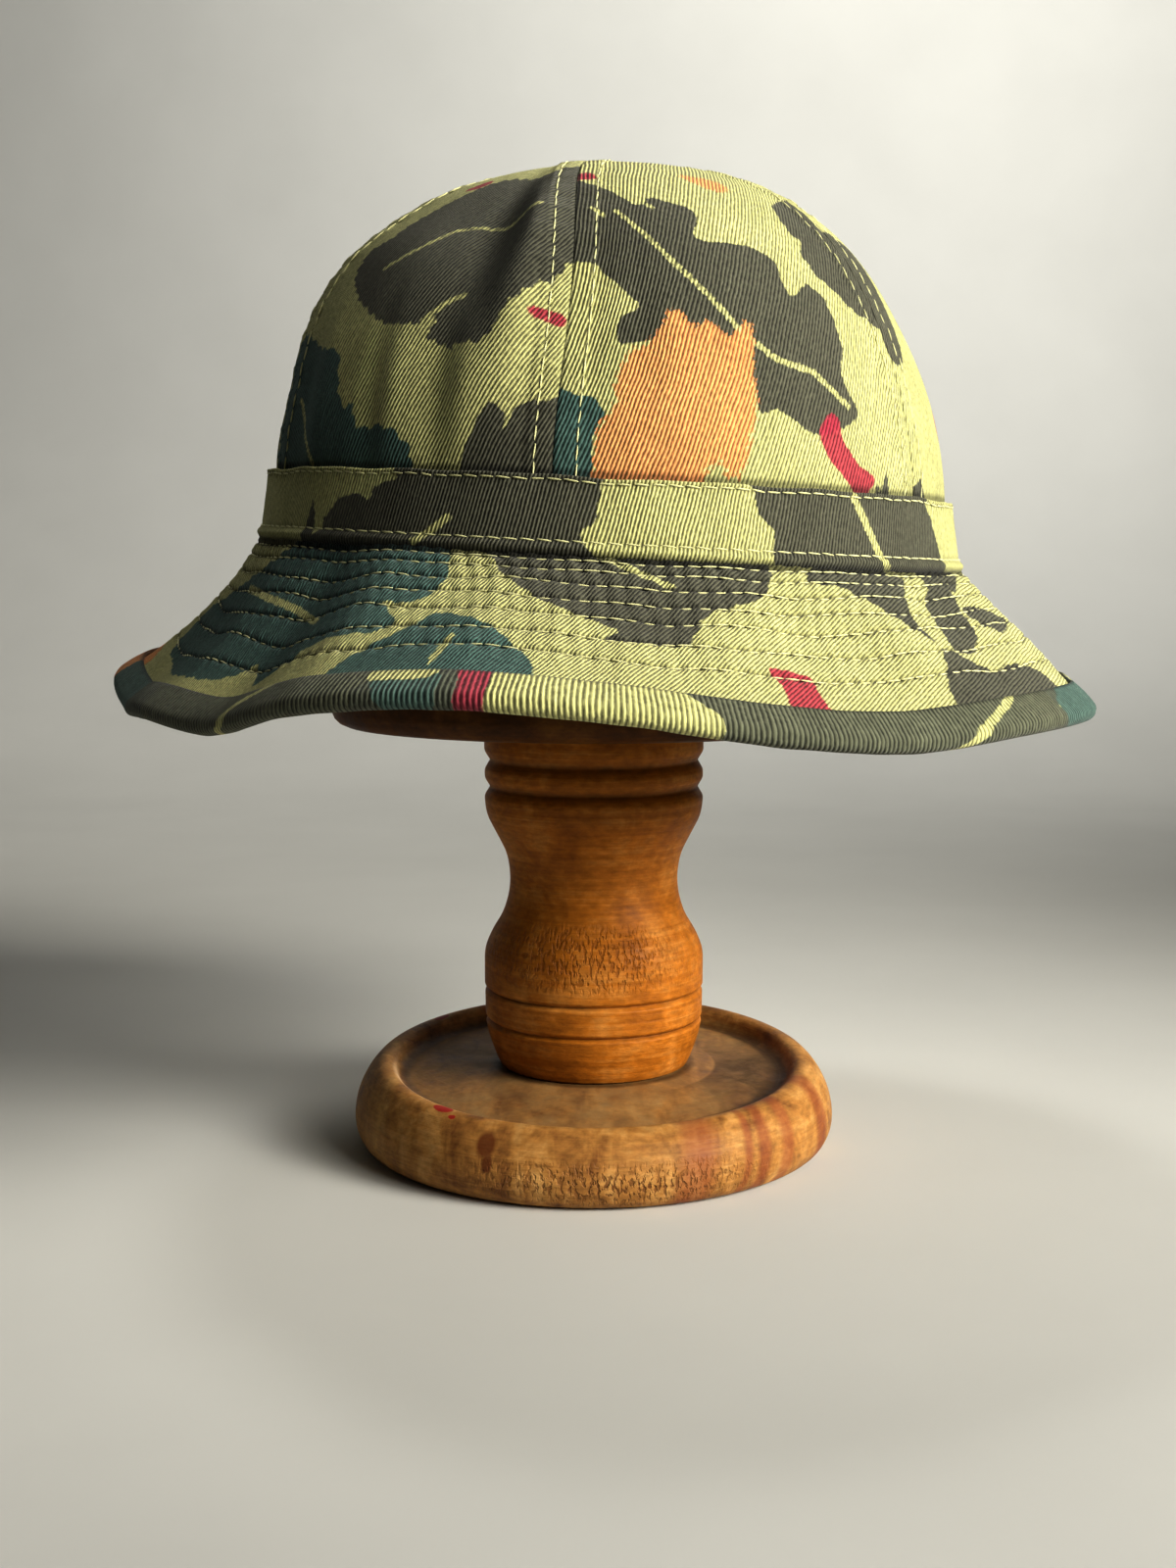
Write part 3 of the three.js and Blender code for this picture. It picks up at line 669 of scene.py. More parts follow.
# Print: each motif has an ink, the corners of its edge on the flat cloth, the depth and length of the small
# lobes along that edge, and bare lines (veins) as a half width and points. The chart is in millimetres.
Motif = namedtuple("Motif", "ink corners lobe pitch veins", defaults=(0.5, 5.0, ()))
CROWN_PRINT = {
    "crown_panel_front_left": [
        Motif("dark", [(30, 96), (24, 93), (17, 88), (9, 90), (3, 89.5), (-4, 82), (-9, 75), (-13, 70),
                       (-15.5, 64), (-22, 60), (-21, 51), (-13.5, 43), (-6.5, 38.3), (-1, 36),
                       (4.6, 35.4), (8.6, 36), (11, 38.2), (12.8, 39.2), (13, 35), (11.8, 32.8),
                       (14.6, 31), (18.3, 29.5), (22.3, 30.5), (26, 30), (28.4, 32.3), (30, 38.8),
                       (32.6, 42), (34.6, 44.8), (37.4, 45.7), (39.7, 51.2), (46, 55),
                       (44, 76)], 1.5, 3.4,
              [(0.55, [(-9, 52), (0, 58), (7, 64.5), (13, 66), (19, 66.5)]),
               (0.75, [(19, 66.5), (27, 68.5)]), (0.7, [(11, 37.5), (14.8, 41.5), (18.4, 43.8)])]),
        Motif("red", [(-5.5, 86.8), (-5, 88.8), (-1.1, 92.3), (1.4, 90.8), (-0.4, 87)], 0.2),
        Motif("red", [(34.6, 37.8), (35.4, 38.8), (38.6, 38.2), (43, 36.8), (43.2, 34), (39.4, 35.2),
                      (36.1, 36.5)], 0.1),
        Motif("teal", [(-52, 39), (-40, 36), (-27, 31), (-17, 29), (-15, 21), (-12, 15), (-8, 15),
                       (-6, 10), (3, 10), (8, 8), (12, 3), (10, -16), (-52, -16)], 1.3, 5.0,
              [(0.7, [(-37, 18), (-30, 8), (-23, 0)])]),
        Motif("dark", [(26, -6), (26.1, 2.8), (28.3, 9.2), (30.4, 14.5), (32.7, 15.4), (35.2, 13.4),
                       (35.9, 9.2), (36.7, 12.5), (38, 15), (40.6, 16.4), (43.9, 16.4), (54, 17),
                       (54, -16), (28, -16)], 0.3),
    ],
    "crown_panel_front_right": [
        Motif("teal", [(-58, 19), (-44, 18), (-40, 17), (-38, 13), (-41, 8), (-42, -16), (-58, -16)]),
        Motif("dark", [(-32, 82), (-24, 75), (-20, 69), (-15, 72), (-6, 67), (-9, 58), (-3, 57), (3, 57),
                       (10, 54), (12, 44), (19, 48), (24, 44), (26, 33), (24, 26), (28, 17), (15, 12),
                       (9, 14), (4, 17), (-1, 16), (-3, 25), (-10, 30), (-26, 31), (-33, 30), (-33, 36),
                       (-27, 39), (-32, 45), (-38, 51), (-48, 52), (-40, 78)], 0.5, 7.0,
              [(0.75, [(-26, 67), (-16, 50), (-3, 33), (5, 28), (15, 26), (25, 19)]),
               (0.7, [(-18, 71), (-16, 68)]), (0.8, [(-32, 68), (-30, 66)])]),
        Motif("orange", [(-42, -16), (-40, 7), (-39, 12), (-35, 16), (-35, 21), (-31, 28), (-26, 30),
                         (-19, 38), (-15, 34), (-11, 36), (-7, 32), (-1, 36), (-2, 24), (-2, 18),
                         (-4, 10), (-7, 2), (-10, 2), (-12, 5), (-16, 1), (-18, -16)], 1.4, 2.3),
        Motif("dark", [(21, 76), (20, 65), (23, 62), (21, 57), (24, 51), (29, 48), (34, 44), (46, 40),
                       (48, 60), (36, 80)], 0.6, 6.0),
        Motif("orange", [(-3, 86), (6, 85), (9, 80), (3, 78)]),
        Motif("red", [(18.9, 17.2), (21.5, 15.2), (22.1, 11.5), (27.3, 6), (33, 3.7), (30, 0), (27, -1.5),
                      (22, 3), (17, 7.4), (15, 13)], 0.2),
        Motif("dark", [(31, -8), (34, 3), (35, 0), (38, 5), (38, -8)], 0.2),
        Motif("red", [(-31, 85), (-26, 86), (-25, 82.5), (-30, 81.5)], 0.2),
    ],
    "crown_panel_right": [
        Motif("dark", [(-18, 66), (-25, 48), (-32, 34), (-42, 31), (-43, 37), (-54, 42),
                       (-46, 66)], 0.6, 6.0),
        Motif("dark", [(-48, -8), (-46, 2), (-40, 4), (-36, -8)], 0.3),
        Motif("teal", [(30, 70), (12, 66), (2, 52), (8, 40), (20, 44), (26, 34), (36, 38), (52, 30),
                       (44, 62)], 0.7, 6.0,
              [(0.7, [(38, 52), (24, 54), (10, 52)])]),
        Motif("orange", [(4, 18), (12, 24), (22, 20), (26, 8), (20, -8), (4, -8), (0, 6)], 0.9, 2.6),
        Motif("red", [(-14, 20), (-8, 24), (-4, 20), (-10, 15)], 0.2),
    ],
    "crown_panel_back_right": [
        Motif("dark", [(-4, 86), (-16, 78), (-26, 66), (-20, 56), (-30, 46), (-22, 36), (-10, 40),
                       (-2, 32), (6, 42), (16, 44), (14, 58), (20, 66), (8, 76)], 0.8, 6.0,
              [(0.7, [(0, 80), (-6, 60), (-18, 44)])]),
        Motif("teal", [(-54, 40), (-42, 36), (-36, 24), (-40, 12), (-54, 8)], 0.6, 6.0),
        Motif("orange", [(24, 30), (34, 34), (42, 28), (40, 14), (30, 8), (20, 14)], 0.9, 2.6),
        Motif("dark", [(-20, -16), (-16, 8), (-8, 14), (0, 8), (8, 16), (14, 4), (12, -16)], 0.6, 5.0),
        Motif("red", [(10, 26), (14, 22), (18, 28), (13, 30)], 0.2),
    ],
    "crown_panel_back_left": [
        Motif("dark", [(54, 60), (40, 62), (28, 54), (16, 56), (8, 44), (14, 34), (24, 36), (30, 26),
                       (42, 30), (54, 22)], 0.8, 6.0,
              [(0.7, [(46, 44), (30, 44), (14, 46)])]),
        Motif("teal", [(-12, 82), (-24, 72), (-22, 58), (-34, 50), (-26, 40), (-14, 46), (-4, 54),
                       (2, 68)], 0.7, 6.0,
              [(0.7, [(-6, 74), (-16, 58), (-26, 48)])]),
        Motif("orange", [(-32, 22), (-22, 28), (-12, 22), (-10, 10), (-20, 4), (-34, 10)], 0.9, 2.6),
        Motif("dark", [(-54, 12), (-44, 8), (-40, -16), (-54, -16)], 0.4),
        Motif("red", [(2, 18), (8, 22), (12, 14), (6, 10)], 0.2),
    ],
    "crown_panel_left": [
        Motif("dark", [(-6, 88), (-18, 80), (-22, 68), (-14, 60), (-20, 50), (-8, 44), (0, 52), (10, 46),
                       (16, 56), (24, 60), (18, 74), (8, 82)], 0.8, 5.5,
              [(0.7, [(-2, 82), (0, 66), (-10, 52)])]),
        Motif("teal", [(56, 40), (46, 38), (36, 30), (30, 18), (36, 8), (32, -16), (56, -16)], 0.8, 6.5),
        Motif("orange", [(-40, 40), (-30, 44), (-24, 34), (-30, 24), (-42, 26)], 0.9, 2.6),
        Motif("dark", [(-34, -16), (-30, 10), (-20, 18), (-12, 10), (-2, 14), (2, 2), (0, -16)], 0.6, 5.5),
        Motif("red", [(14, 30), (20, 34), (22, 28), (17, 25)], 0.2),
    ],
}

# The inks in the order of printing: how ragged the edge is in millimetres and how much less the crests take.
INKS = {"teal": (1.6, -0.04), "dark": (1.6, -0.04), "orange": (4.4, -0.06), "red": (1.6, -0.05)}
UNPRINTED = 9.0
PRINT_MARGIN = 4
EDGE_STEPS = 12
EDGE_ROUNDNESS = 0.38
LOBE_UNEVENNESS = 0.4


def leaf_edge(corners, lobe, pitch):
    """A closed curve through a motif's corners, drawn in small round lobes."""
    here = np.asarray(corners, float)
    before, after, beyond = np.roll(here, 1, 0), np.roll(here, -1, 0), np.roll(here, -2, 0)
    t = np.linspace(0, 1, EDGE_STEPS, endpoint=False)[:, None, None]
    slope = (after - before) * EDGE_ROUNDNESS
    slope_after = (beyond - here) * EDGE_ROUNDNESS
    bend = 3 * (after - here) - 2 * slope - slope_after
    twist = slope + slope_after - 2 * (after - here)
    curve = (here + t * (slope + t * (bend + t * twist))).transpose(1, 0, 2).reshape(-1, 2)
    step = np.roll(curve, -1, 0) - curve
    length = np.hypot(step[:, 0], step[:, 1]) + 1e-6
    along = np.cumsum(length)
    turn = np.sign(np.sum(curve[:, 0] * step[:, 1] - curve[:, 1] * step[:, 0]))
    outward = np.stack([step[:, 1], -step[:, 0]], 1) / length[:, None] * turn
    lobes = max(1, round(along[-1] / pitch))
    swell = np.abs(np.sin(math.pi * lobes * along / along[-1] + LOBE_UNEVENNESS * np.sin(along / pitch)))
    return curve + outward * lobe * (swell - 0.5)[:, None]


def line_distance(points, line, closed):
    """The distance of each point to a line of points, and whether it lies inside a closed one."""
    nearest = np.full(len(points), np.inf)
    inside = np.zeros(len(points), bool)
    ends = np.roll(line, -1, 0) if closed else line[1:]
    for start, end in zip(line, ends):
        step = end - start
        offset = points - start
        along = np.clip(offset @ step / max(step @ step, 1e-9), 0, 1)
        nearest = np.minimum(nearest, np.hypot(*(offset - along[:, None] * step).T))
        if closed and start[1] != end[1]:
            level = (start[1] > points[:, 1]) != (end[1] > points[:, 1])
            inside ^= level & (offset[:, 0] < step[0] * (points[:, 1] - start[1]) / step[1])
    return nearest, inside


def print_cloth(mesh, flat, motifs):
    """Stores, for each ink, each vertex's flat distance from the ink's edge (negative inside)."""
    inks = {ink: np.full(len(flat), UNPRINTED) for ink in INKS}
    for motif in motifs:
        edge = leaf_edge(motif.corners, motif.lobe, motif.pitch)
        near = np.all((flat > edge.min(0) - PRINT_MARGIN) & (flat < edge.max(0) + PRINT_MARGIN), 1)
        distance, inside = line_distance(flat[near], edge, True)
        signed = np.where(inside, -distance, distance)
        for half_width, vein in motif.veins:
            bare, _ = line_distance(flat[near], np.asarray(vein, float), False)
            signed = np.maximum(signed, half_width - bare)
        inks[motif.ink][near] = np.minimum(inks[motif.ink][near], signed)
    for ink, distance in inks.items():
        store(mesh, "ink_" + ink, np.clip(distance, -UNPRINTED, UNPRINTED))


# WAVE_PER_RIB makes one wave of the texture node to a rib. Ribs and yarn are drawn about as coarse as they
# show in the photo, because finer ones would be lost in the render.
WAVE_PER_RIB = 2 * math.pi / 20
CLOTH_COLOURS = {"ground": "BEBD84", "teal": "42625F", "dark": "505047", "orange": "E8A066", "red": "A8374A"}

# Patterns of the cloth, in ribs across and along: drift of the ribs, floats of the yarn, slubs and washing.
DRIFT_RIBS = 14.286
YARN_RIBS = (0.9091, 1.4286, 1)
SLUB_RIBS = (1.6667, 16.667, 1)
WASH_RIBS = 16.667
RIB_WANDER = 1.3
RIB_RELIEF = 0.28

# Edges of a cloth wall that turn by more than this are shaded as folds.
SHARP_FROM_DEG = 62


def printed_twill(name, colours):
    """Washed cotton twill: wide round ribs of short nubby floats with narrow broken furrows between them,
    slubs and a dry surface. The inks lie on the ribs, thin a little on the crests, and have slightly ragged
    edges."""
    material, tree, sockets = start_material(name, {"Roughness": 0.92, "Specular IOR Level": 0.15,
                                                    "Sheen Weight": 0.1, "Sheen Roughness": 0.5})
    cloth = add(tree, "ShaderNodeUVMap", uv_map="ribs").outputs["UV"]
    # The ribs wander by about their own width, and each is a row of floats about as long as they are wide.
    drift = add(tree, "ShaderNodeTexNoise", {"Vector": cloth, "Scale": 1 / DRIFT_RIBS, "Detail": 2.0})
    bent = add(tree, "ShaderNodeVectorMath",
               {0: drift.outputs["Color"], 1: (RIB_WANDER, RIB_WANDER, 0.0), 2: cloth},
               operation="MULTIPLY_ADD").outputs[0]
    rib = add(tree, "ShaderNodeTexWave", {"Vector": bent, "Scale": WAVE_PER_RIB, "Distortion": 0.5,
                                          "Detail": 2.0, "Detail Scale": 2.6}, bands_direction="X")
    yarn_place = add(tree, "ShaderNodeMapping", {"Vector": bent, "Scale": [1 / size for size in YARN_RIBS]})
    yarn = add(tree, "ShaderNodeTexNoise", {"Vector": yarn_place.outputs[0], "Scale": 1.0, "Detail": 3.0,
                                            "Roughness": 0.6})
    slub_place = add(tree, "ShaderNodeMapping", {"Vector": cloth, "Scale": [1 / size for size in SLUB_RIBS]})
    slub = add(tree, "ShaderNodeTexNoise", {"Vector": slub_place.outputs[0], "Scale": 1.0, "Detail": 3.0})
    wash = add(tree, "ShaderNodeTexNoise", {"Vector": cloth, "Scale": 1 / WASH_RIBS, "Detail": 4.0})
    ragged = add(tree, "ShaderNodeMath", {0: yarn.outputs["Fac"], 1: -0.5}, operation="ADD")
    floats = add(tree, "ShaderNodeMath", {0: ragged.outputs[0], 1: 1.1, 2: rib.outputs["Fac"]},
                 operation="MULTIPLY_ADD")
    crest = add(tree, "ShaderNodeMapRange", {"Value": floats.outputs[0], "From Min": 0.0, "From Max": 0.55},
                interpolation_type="SMOOTHSTEP").outputs["Result"]
    colour = linear(colours["ground"])
    for ink, (rough, thin) in INKS.items():
        edge = add(tree, "ShaderNodeAttribute", attribute_name="ink_" + ink)
        bled = add(tree, "ShaderNodeMath", {0: ragged.outputs[0], 1: rough, 2: edge.outputs["Fac"]},
                   operation="MULTIPLY_ADD")
        cover = add(tree, "ShaderNodeMapRange", {"Value": bled.outputs[0], "From Min": 0.2, "From Max": -0.2})
        taken = add(tree, "ShaderNodeMath", {0: crest, 1: thin, 2: 0.99}, operation="MULTIPLY_ADD")
        share = add(tree, "ShaderNodeMath", {0: cover.outputs["Result"], 1: taken.outputs[0]},
                    operation="MULTIPLY")
        laid = add(tree, "ShaderNodeMix",
                   {"Factor": share.outputs[0], "A": colour, "B": linear(colours[ink])}, data_type="RGBA")
        colour = laid.outputs["Result"]
    # Tone: dark furrows and pale crests, partly the yarns' own tones and partly painted shade in the furrows,
    # uneven yarn, long slubs, cloudy washing, and painted shade in sewn lines and in creases where parts
    # meet.
    painted_shade = add(tree, "ShaderNodeAttribute", attribute_name="painted_shade")
    for value, low, high, least, most in (
            (crest, 0.0, 1.0, 0.36, 1.14), (yarn.outputs["Fac"], 0.3, 0.7, 0.84, 1.16),
            (slub.outputs["Fac"], 0.3, 0.7, 0.9, 1.1), (wash.outputs["Fac"], 0.3, 0.7, 0.9, 1.07),
            (painted_shade.outputs["Fac"], 0.0, 1.0, 1.0, 0.22)):
        tone = add(tree, "ShaderNodeMapRange", {"Value": value, "From Min": low, "From Max": high,
                                                "To Min": least, "To Max": most})
        colour = add(tree, "ShaderNodeVectorMath", {0: colour, 3: tone.outputs["Result"]},
                     operation="SCALE").outputs[0]
    tree.links.new(colour, sockets["Base Color"])
    relief = add(tree, "ShaderNodeBump", {"Height": floats.outputs[0], "Strength": 0.8,
                                          "Distance": RIB_RELIEF * MM})
    tree.links.new(relief.outputs["Normal"], sockets["Normal"])
    return material


def along_ribs(flat, lean):
    """Flat places turned so that the first value runs across ribs that lean from the horizontal."""
    c, s = math.cos(math.radians(lean)), math.sin(math.radians(lean))
    return np.stack([flat[..., 0] * s - flat[..., 1] * c, flat[..., 0] * c + flat[..., 1] * s], -1)


def sewn_wall(name, loops, flat, weave, material, motifs, painted_shade, closed):
    """A closed cloth wall over a row of loops of points in millimetres. An open row is capped at both ends;
    flat holds each point's place on the flat cloth, with one more row where the row of loops closes, weave
    the ribs' lean and width, and the argument after motifs, from 0 to 1, how much painted shade darkens a
    point in the sewn lines and in the creases where parts meet."""
    count, size = loops.shape[:2]
    spans = count if closed else count - 1
    i, j = np.meshgrid(np.arange(spans), np.arange(size), indexing="ij")
    k = (j + 1) % size
    ahead = (i + 1) % count
    faces = np.stack([i * size + j, i * size + k, ahead * size + k, ahead * size + j], -1).reshape(-1, 4)
    places = np.stack([i * size + j, i * size + k, (i + 1) * size + k, (i + 1) * size + j], -1).reshape(-1, 4)
    if not closed:
        half = np.arange(size // 2 - 1)
        near = np.stack([size - 1 - half, size - 2 - half, half + 1, half], -1)
        far = near[:, ::-1] + (count - 1) * size
        faces = np.vstack([faces, near, far])
        places = np.vstack([places, near, far])
    points = loops.reshape(-1, 3)
    a, b, c = (points[faces[:, n]] for n in (0, 1, 2))
    if np.sum(a * np.cross(b, c)) < 0:
        faces, places = faces[:, ::-1], places[:, ::-1]
    piece = link_mesh(name, (points * MM).tolist(), faces.tolist(), material)
    piece.data.set_sharp_from_angle(angle=math.radians(SHARP_FROM_DEG))
    lean, rib_mm = weave
    ribs = along_ribs(flat.reshape(-1, 2), lean) / rib_mm
    uv = piece.data.uv_layers.new(name="ribs")
    uv.data.foreach_set("uv", ribs[places.ravel()].ravel())
    print_cloth(piece.data, flat[:count].reshape(-1, 2), motifs)
    store(piece.data, "painted_shade", np.clip(painted_shade, 0, 1))
    return piece


# The ribs' lean from the horizontal in degrees and their width in millimetres.
CROWN_WEAVE = (66, 0.95)
# The gores stop short of the crown's middle, and of their seams by a hair, so that no two of them cross.
GORE_SHORT = 0.15
GORE_HAIR = 0.06
GORE_HAIR_MOST = 0.3
# The columns of a gore stand closer together beside its seams by this share.
GORE_CROWDING = 0.45

twill = printed_twill("printed_cotton_twill", CLOTH_COLOURS)
row_mm = np.linspace(GORE_LOW, CROWN_ARC - GORE_SHORT, GORE_ROWS)
row_v = np.interp(row_mm, arc_mm, arc_v)[:, None]
spread = np.linspace(0, 1, GORE_COLUMNS)
spread = (1 - GORE_CROWDING) * spread + GORE_CROWDING * (1 - np.cos(math.pi * spread)) / 2
for node, from_seam, to_seam in zip(GORES, SEAMS, SEAMS[1:] + [SEAMS[0] + 360]):
    middle = (from_seam + to_seam) / 2
    half = (to_seam - from_seam) / 2
    gore_r, _ = crown_line(row_v)
    clearance = np.degrees(np.minimum(GORE_HAIR_MOST, GORE_HAIR / np.maximum(gore_r, 0.05)))
    az = middle + (half - clearance) * (2 * spread[None, :] - 1)
    across = gore_r * np.radians(az - middle)
    outer = crown_point(az, row_v)
    inner = crown_point(az, row_v, CLOTH)
    gore_flat = np.stack([across, np.broadcast_to(row_mm[:, None], across.shape)], -1)
    loops = np.concatenate([outer, inner[:, ::-1]], 1)
    gore_flat = np.concatenate([gore_flat, gore_flat[:, ::-1]], 1)
    from_seam_mm = gore_r * np.radians(half - np.abs(az - middle))
    from_row_mm = from_seam_mm - np.where(az < middle, SEAM_STITCH_RIGHT, SEAM_STITCH_LEFT)
    # Painted shade along each seam's crack and stitch rows, and a painted shadow on the crown just above the
    # band's top edge.
    painted_shade = 0.5 * hump(from_seam_mm, 0.3) + 0.3 * hump(from_row_mm, 0.5)
    painted_shade = painted_shade + 1.1 * hump(row_mm[:, None] - 0.3, 0.9)
    painted_shade = np.concatenate([painted_shade, painted_shade[:, ::-1]], 1)
    gore = sewn_wall(node + "_cloth", loops, gore_flat, CROWN_WEAVE, twill, CROWN_PRINT[node], painted_shade, False)
    finish_piece(gore, "printed_cotton", node)


# Crown stitches
# Lock stitches in a pale yellow-green cotton thread, two rows to each seam. Every stitch is a short thread
# that lies in a dimple of the cloth.
STITCH_LENGTH = 3.7
STITCH_PITCH = 4.0
THREAD_WIDTH = 0.5
THREAD_HEIGHT = 0.46
STITCH_LEAST_TURN = -0.13
STITCH_MOST_TURN = 0.01
STITCH_DIP = -0.045
STITCH_LIFT = 0.12
STITCH_SEED = 7
SEAM_ROW_START = 1.0
SEAM_ROW_STEP = 0.8
SEAM_ROW_SHORT = 9

# The twist of the thread is drawn coarser than it is, so that it shows.
TWIST_MM = 1.1111


def sewing_thread(name, dark, pale):
    """Spun cotton thread: matt, with a fine twist that shows as a slight unevenness of tone."""
    material, tree, sockets = start_material(name, {"Roughness": 0.75, "Sheen Weight": 0.1})
    place = add(tree, "ShaderNodeTexCoord").outputs["Object"]
    twist = add(tree, "ShaderNodeTexNoise", {"Vector": place, "Scale": 1 / (TWIST_MM * MM), "Detail": 2.0})
    tone = add(tree, "ShaderNodeMix",
               {"Factor": twist.outputs["Fac"], "A": linear(dark), "B": linear(pale)}, data_type="RGBA")
    tree.links.new(tone.outputs["Result"], sockets["Base Color"])
    return material


def stitch_tree():
    """Geometry Nodes: one flat bead of thread for each stitch along a path, its back on the cloth, turned a
    little off the row and dipping into the cloth at its near end."""
    tree = bpy.data.node_groups.new("row_of_stitches", "GeometryNodeTree")
    sockets = tree.interface
    sockets.new_socket("Path", in_out="INPUT", socket_type="NodeSocketGeometry")
    for title in ("Pitch", "Length", "Width", "Height", "Least turn", "Most turn", "Dip"):
        sockets.new_socket(title, in_out="INPUT", socket_type="NodeSocketFloat")
    sockets.new_socket("Seed", in_out="INPUT", socket_type="NodeSocketInt")
    sockets.new_socket("Thread", in_out="INPUT", socket_type="NodeSocketMaterial")
    sockets.new_socket("Stitches", in_out="OUTPUT", socket_type="NodeSocketGeometry")
    given = add(tree, "NodeGroupInput").outputs
    path = add(tree, "GeometryNodeMeshToCurve", {"Mesh": given["Path"]})
    steps = add(tree, "GeometryNodeResampleCurve", {"Curve": path.outputs[0], "Length": given["Pitch"]},
                mode="LENGTH")
    heading = add(tree, "GeometryNodeInputTangent")
    off_cloth = add(tree, "GeometryNodeInputNamedAttribute", {"Name": "off_cloth"}, data_type="FLOAT_VECTOR")
    turned = add(tree, "FunctionNodeAlignRotationToVector", {"Vector": heading.outputs[0]}, axis="X")
    laid = add(tree, "FunctionNodeAlignRotationToVector",
               {"Rotation": turned.outputs[0], "Vector": off_cloth.outputs[0]}, axis="Z", pivot_axis="X")
    stray = add(tree, "FunctionNodeRandomValue",
                {2: given["Least turn"], 3: given["Most turn"], "Seed": given["Seed"]}, data_type="FLOAT")
    tip = add(tree, "ShaderNodeCombineXYZ", {"Y": given["Dip"], "Z": stray.outputs[1]})
    tip_turn = add(tree, "FunctionNodeEulerToRotation", {"Euler": tip.outputs[0]})
    astray = add(tree, "FunctionNodeRotateRotation",
                 {"Rotation": laid.outputs[0], "Rotate By": tip_turn.outputs[0]}, rotation_space="LOCAL")
    bead = add(tree, "GeometryNodeMeshUVSphere", {"Segments": 6, "Rings": 5, "Radius": 0.5})
    upright = add(tree, "GeometryNodeTransform",
                  {"Geometry": bead.outputs[0], "Rotation": (0, math.pi / 2, 0)})
    size = add(tree, "ShaderNodeCombineXYZ",
               {"X": given["Length"], "Y": given["Width"], "Z": given["Height"]})
    row = add(tree, "GeometryNodeInstanceOnPoints",
              {"Points": steps.outputs[0], "Instance": upright.outputs[0], "Rotation": astray.outputs[0],
               "Scale": size.outputs[0]})
    solid = add(tree, "GeometryNodeRealizeInstances", {"Geometry": row.outputs[0]})
    finish = add(tree, "GeometryNodeSetMaterial", {"Geometry": solid.outputs[0], "Material": given["Thread"]})
    add(tree, "NodeGroupOutput", {"Stitches": finish.outputs[0]})
    return tree


stitches = stitch_tree()


def sew(name, rows, thread):
    """Stitches along rows of points and outward directions in millimetres; a closed row meets itself."""
    points, outward, edges = [], [], []
    for line, off_cloth, closed in rows:
        first = len(points)
        points += (line * MM).tolist()
        outward += off_cloth.tolist()
        edges += [(first + n, first + n + 1) for n in range(len(line) - 1)]
        if closed:
            edges.append((first + len(line) - 1, first))
    path = bpy.data.meshes.new(name + "_path")
    path.from_pydata(points, edges, [])
    layer = path.attributes.new("off_cloth", "FLOAT_VECTOR", "POINT")
    layer.data.foreach_set("vector", np.array(outward, np.float32).ravel())
    row = bpy.data.objects.new(name, path)
    bpy.context.collection.objects.link(row)
    modifier = row.modifiers.new("stitches", "NODES")
    modifier.node_group = stitches
    sizes = {"Pitch": STITCH_PITCH * MM, "Length": STITCH_LENGTH * MM, "Width": THREAD_WIDTH * MM,
             "Height": THREAD_HEIGHT * MM, "Least turn": STITCH_LEAST_TURN, "Most turn": STITCH_MOST_TURN,
             "Dip": STITCH_DIP, "Seed": STITCH_SEED, "Thread": thread}
    for socket in stitches.interface.items_tree:
        if socket.name in sizes:
            modifier[socket.identifier] = sizes[socket.name]
    evaluated = row.evaluated_get(bpy.context.evaluated_depsgraph_get())
    row.data = bpy.data.meshes.new_from_object(evaluated)
    row.modifiers.clear()
    row.data.shade_smooth()
    return row


def outward_of(points, above):
    """Unit directions from points to the points above them."""
    step = above - points
    return step / np.linalg.norm(step, axis=-1, keepdims=True)


pale_thread = sewing_thread("pale_cotton_thread", "C4C28A", "E4E2B2")
seam_rows = []
seam_mm = np.arange(SEAM_ROW_START, CROWN_ARC - SEAM_ROW_SHORT, SEAM_ROW_STEP)
seam_v = np.interp(seam_mm, arc_mm, arc_v)
seam_r, _ = crown_line(seam_v)
for seam in SEAMS:
    for side in (-SEAM_STITCH_LEFT, SEAM_STITCH_RIGHT):
        az = seam + np.degrees(side / seam_r)
        line = crown_point(az, seam_v, -STITCH_LIFT)
        seam_rows.append((line, outward_of(line, crown_point(az, seam_v, -1.0)), False))
crown_stitches = sew("crown_seam_stitches", seam_rows, pale_thread)
finish_piece(crown_stitches, "printed_cotton")


# Hat band
# A straight strip of the same printed twill, folded in along both edges and sewn round the foot of the
# crown. Its upper edge stands a little off the crown and its lower edge is rolled over the brim seam.
BAND_LOW_R = 94
BAND_TOP_R = 91.5
BAND_STEPS = 620
BAND_WEAVE = (74, 0.92)
BAND_LIP_UP = 0.9
BAND_LIP_BULGE = 1.0
BAND_TOP_ROW = 15.9
BAND_LOW_ROW = 2.4
BAND_ROW_STEPS = 720
BAND_PUCKER = 0.12
BAND_PUCKERS_ROUND = 190
FRONT = 270

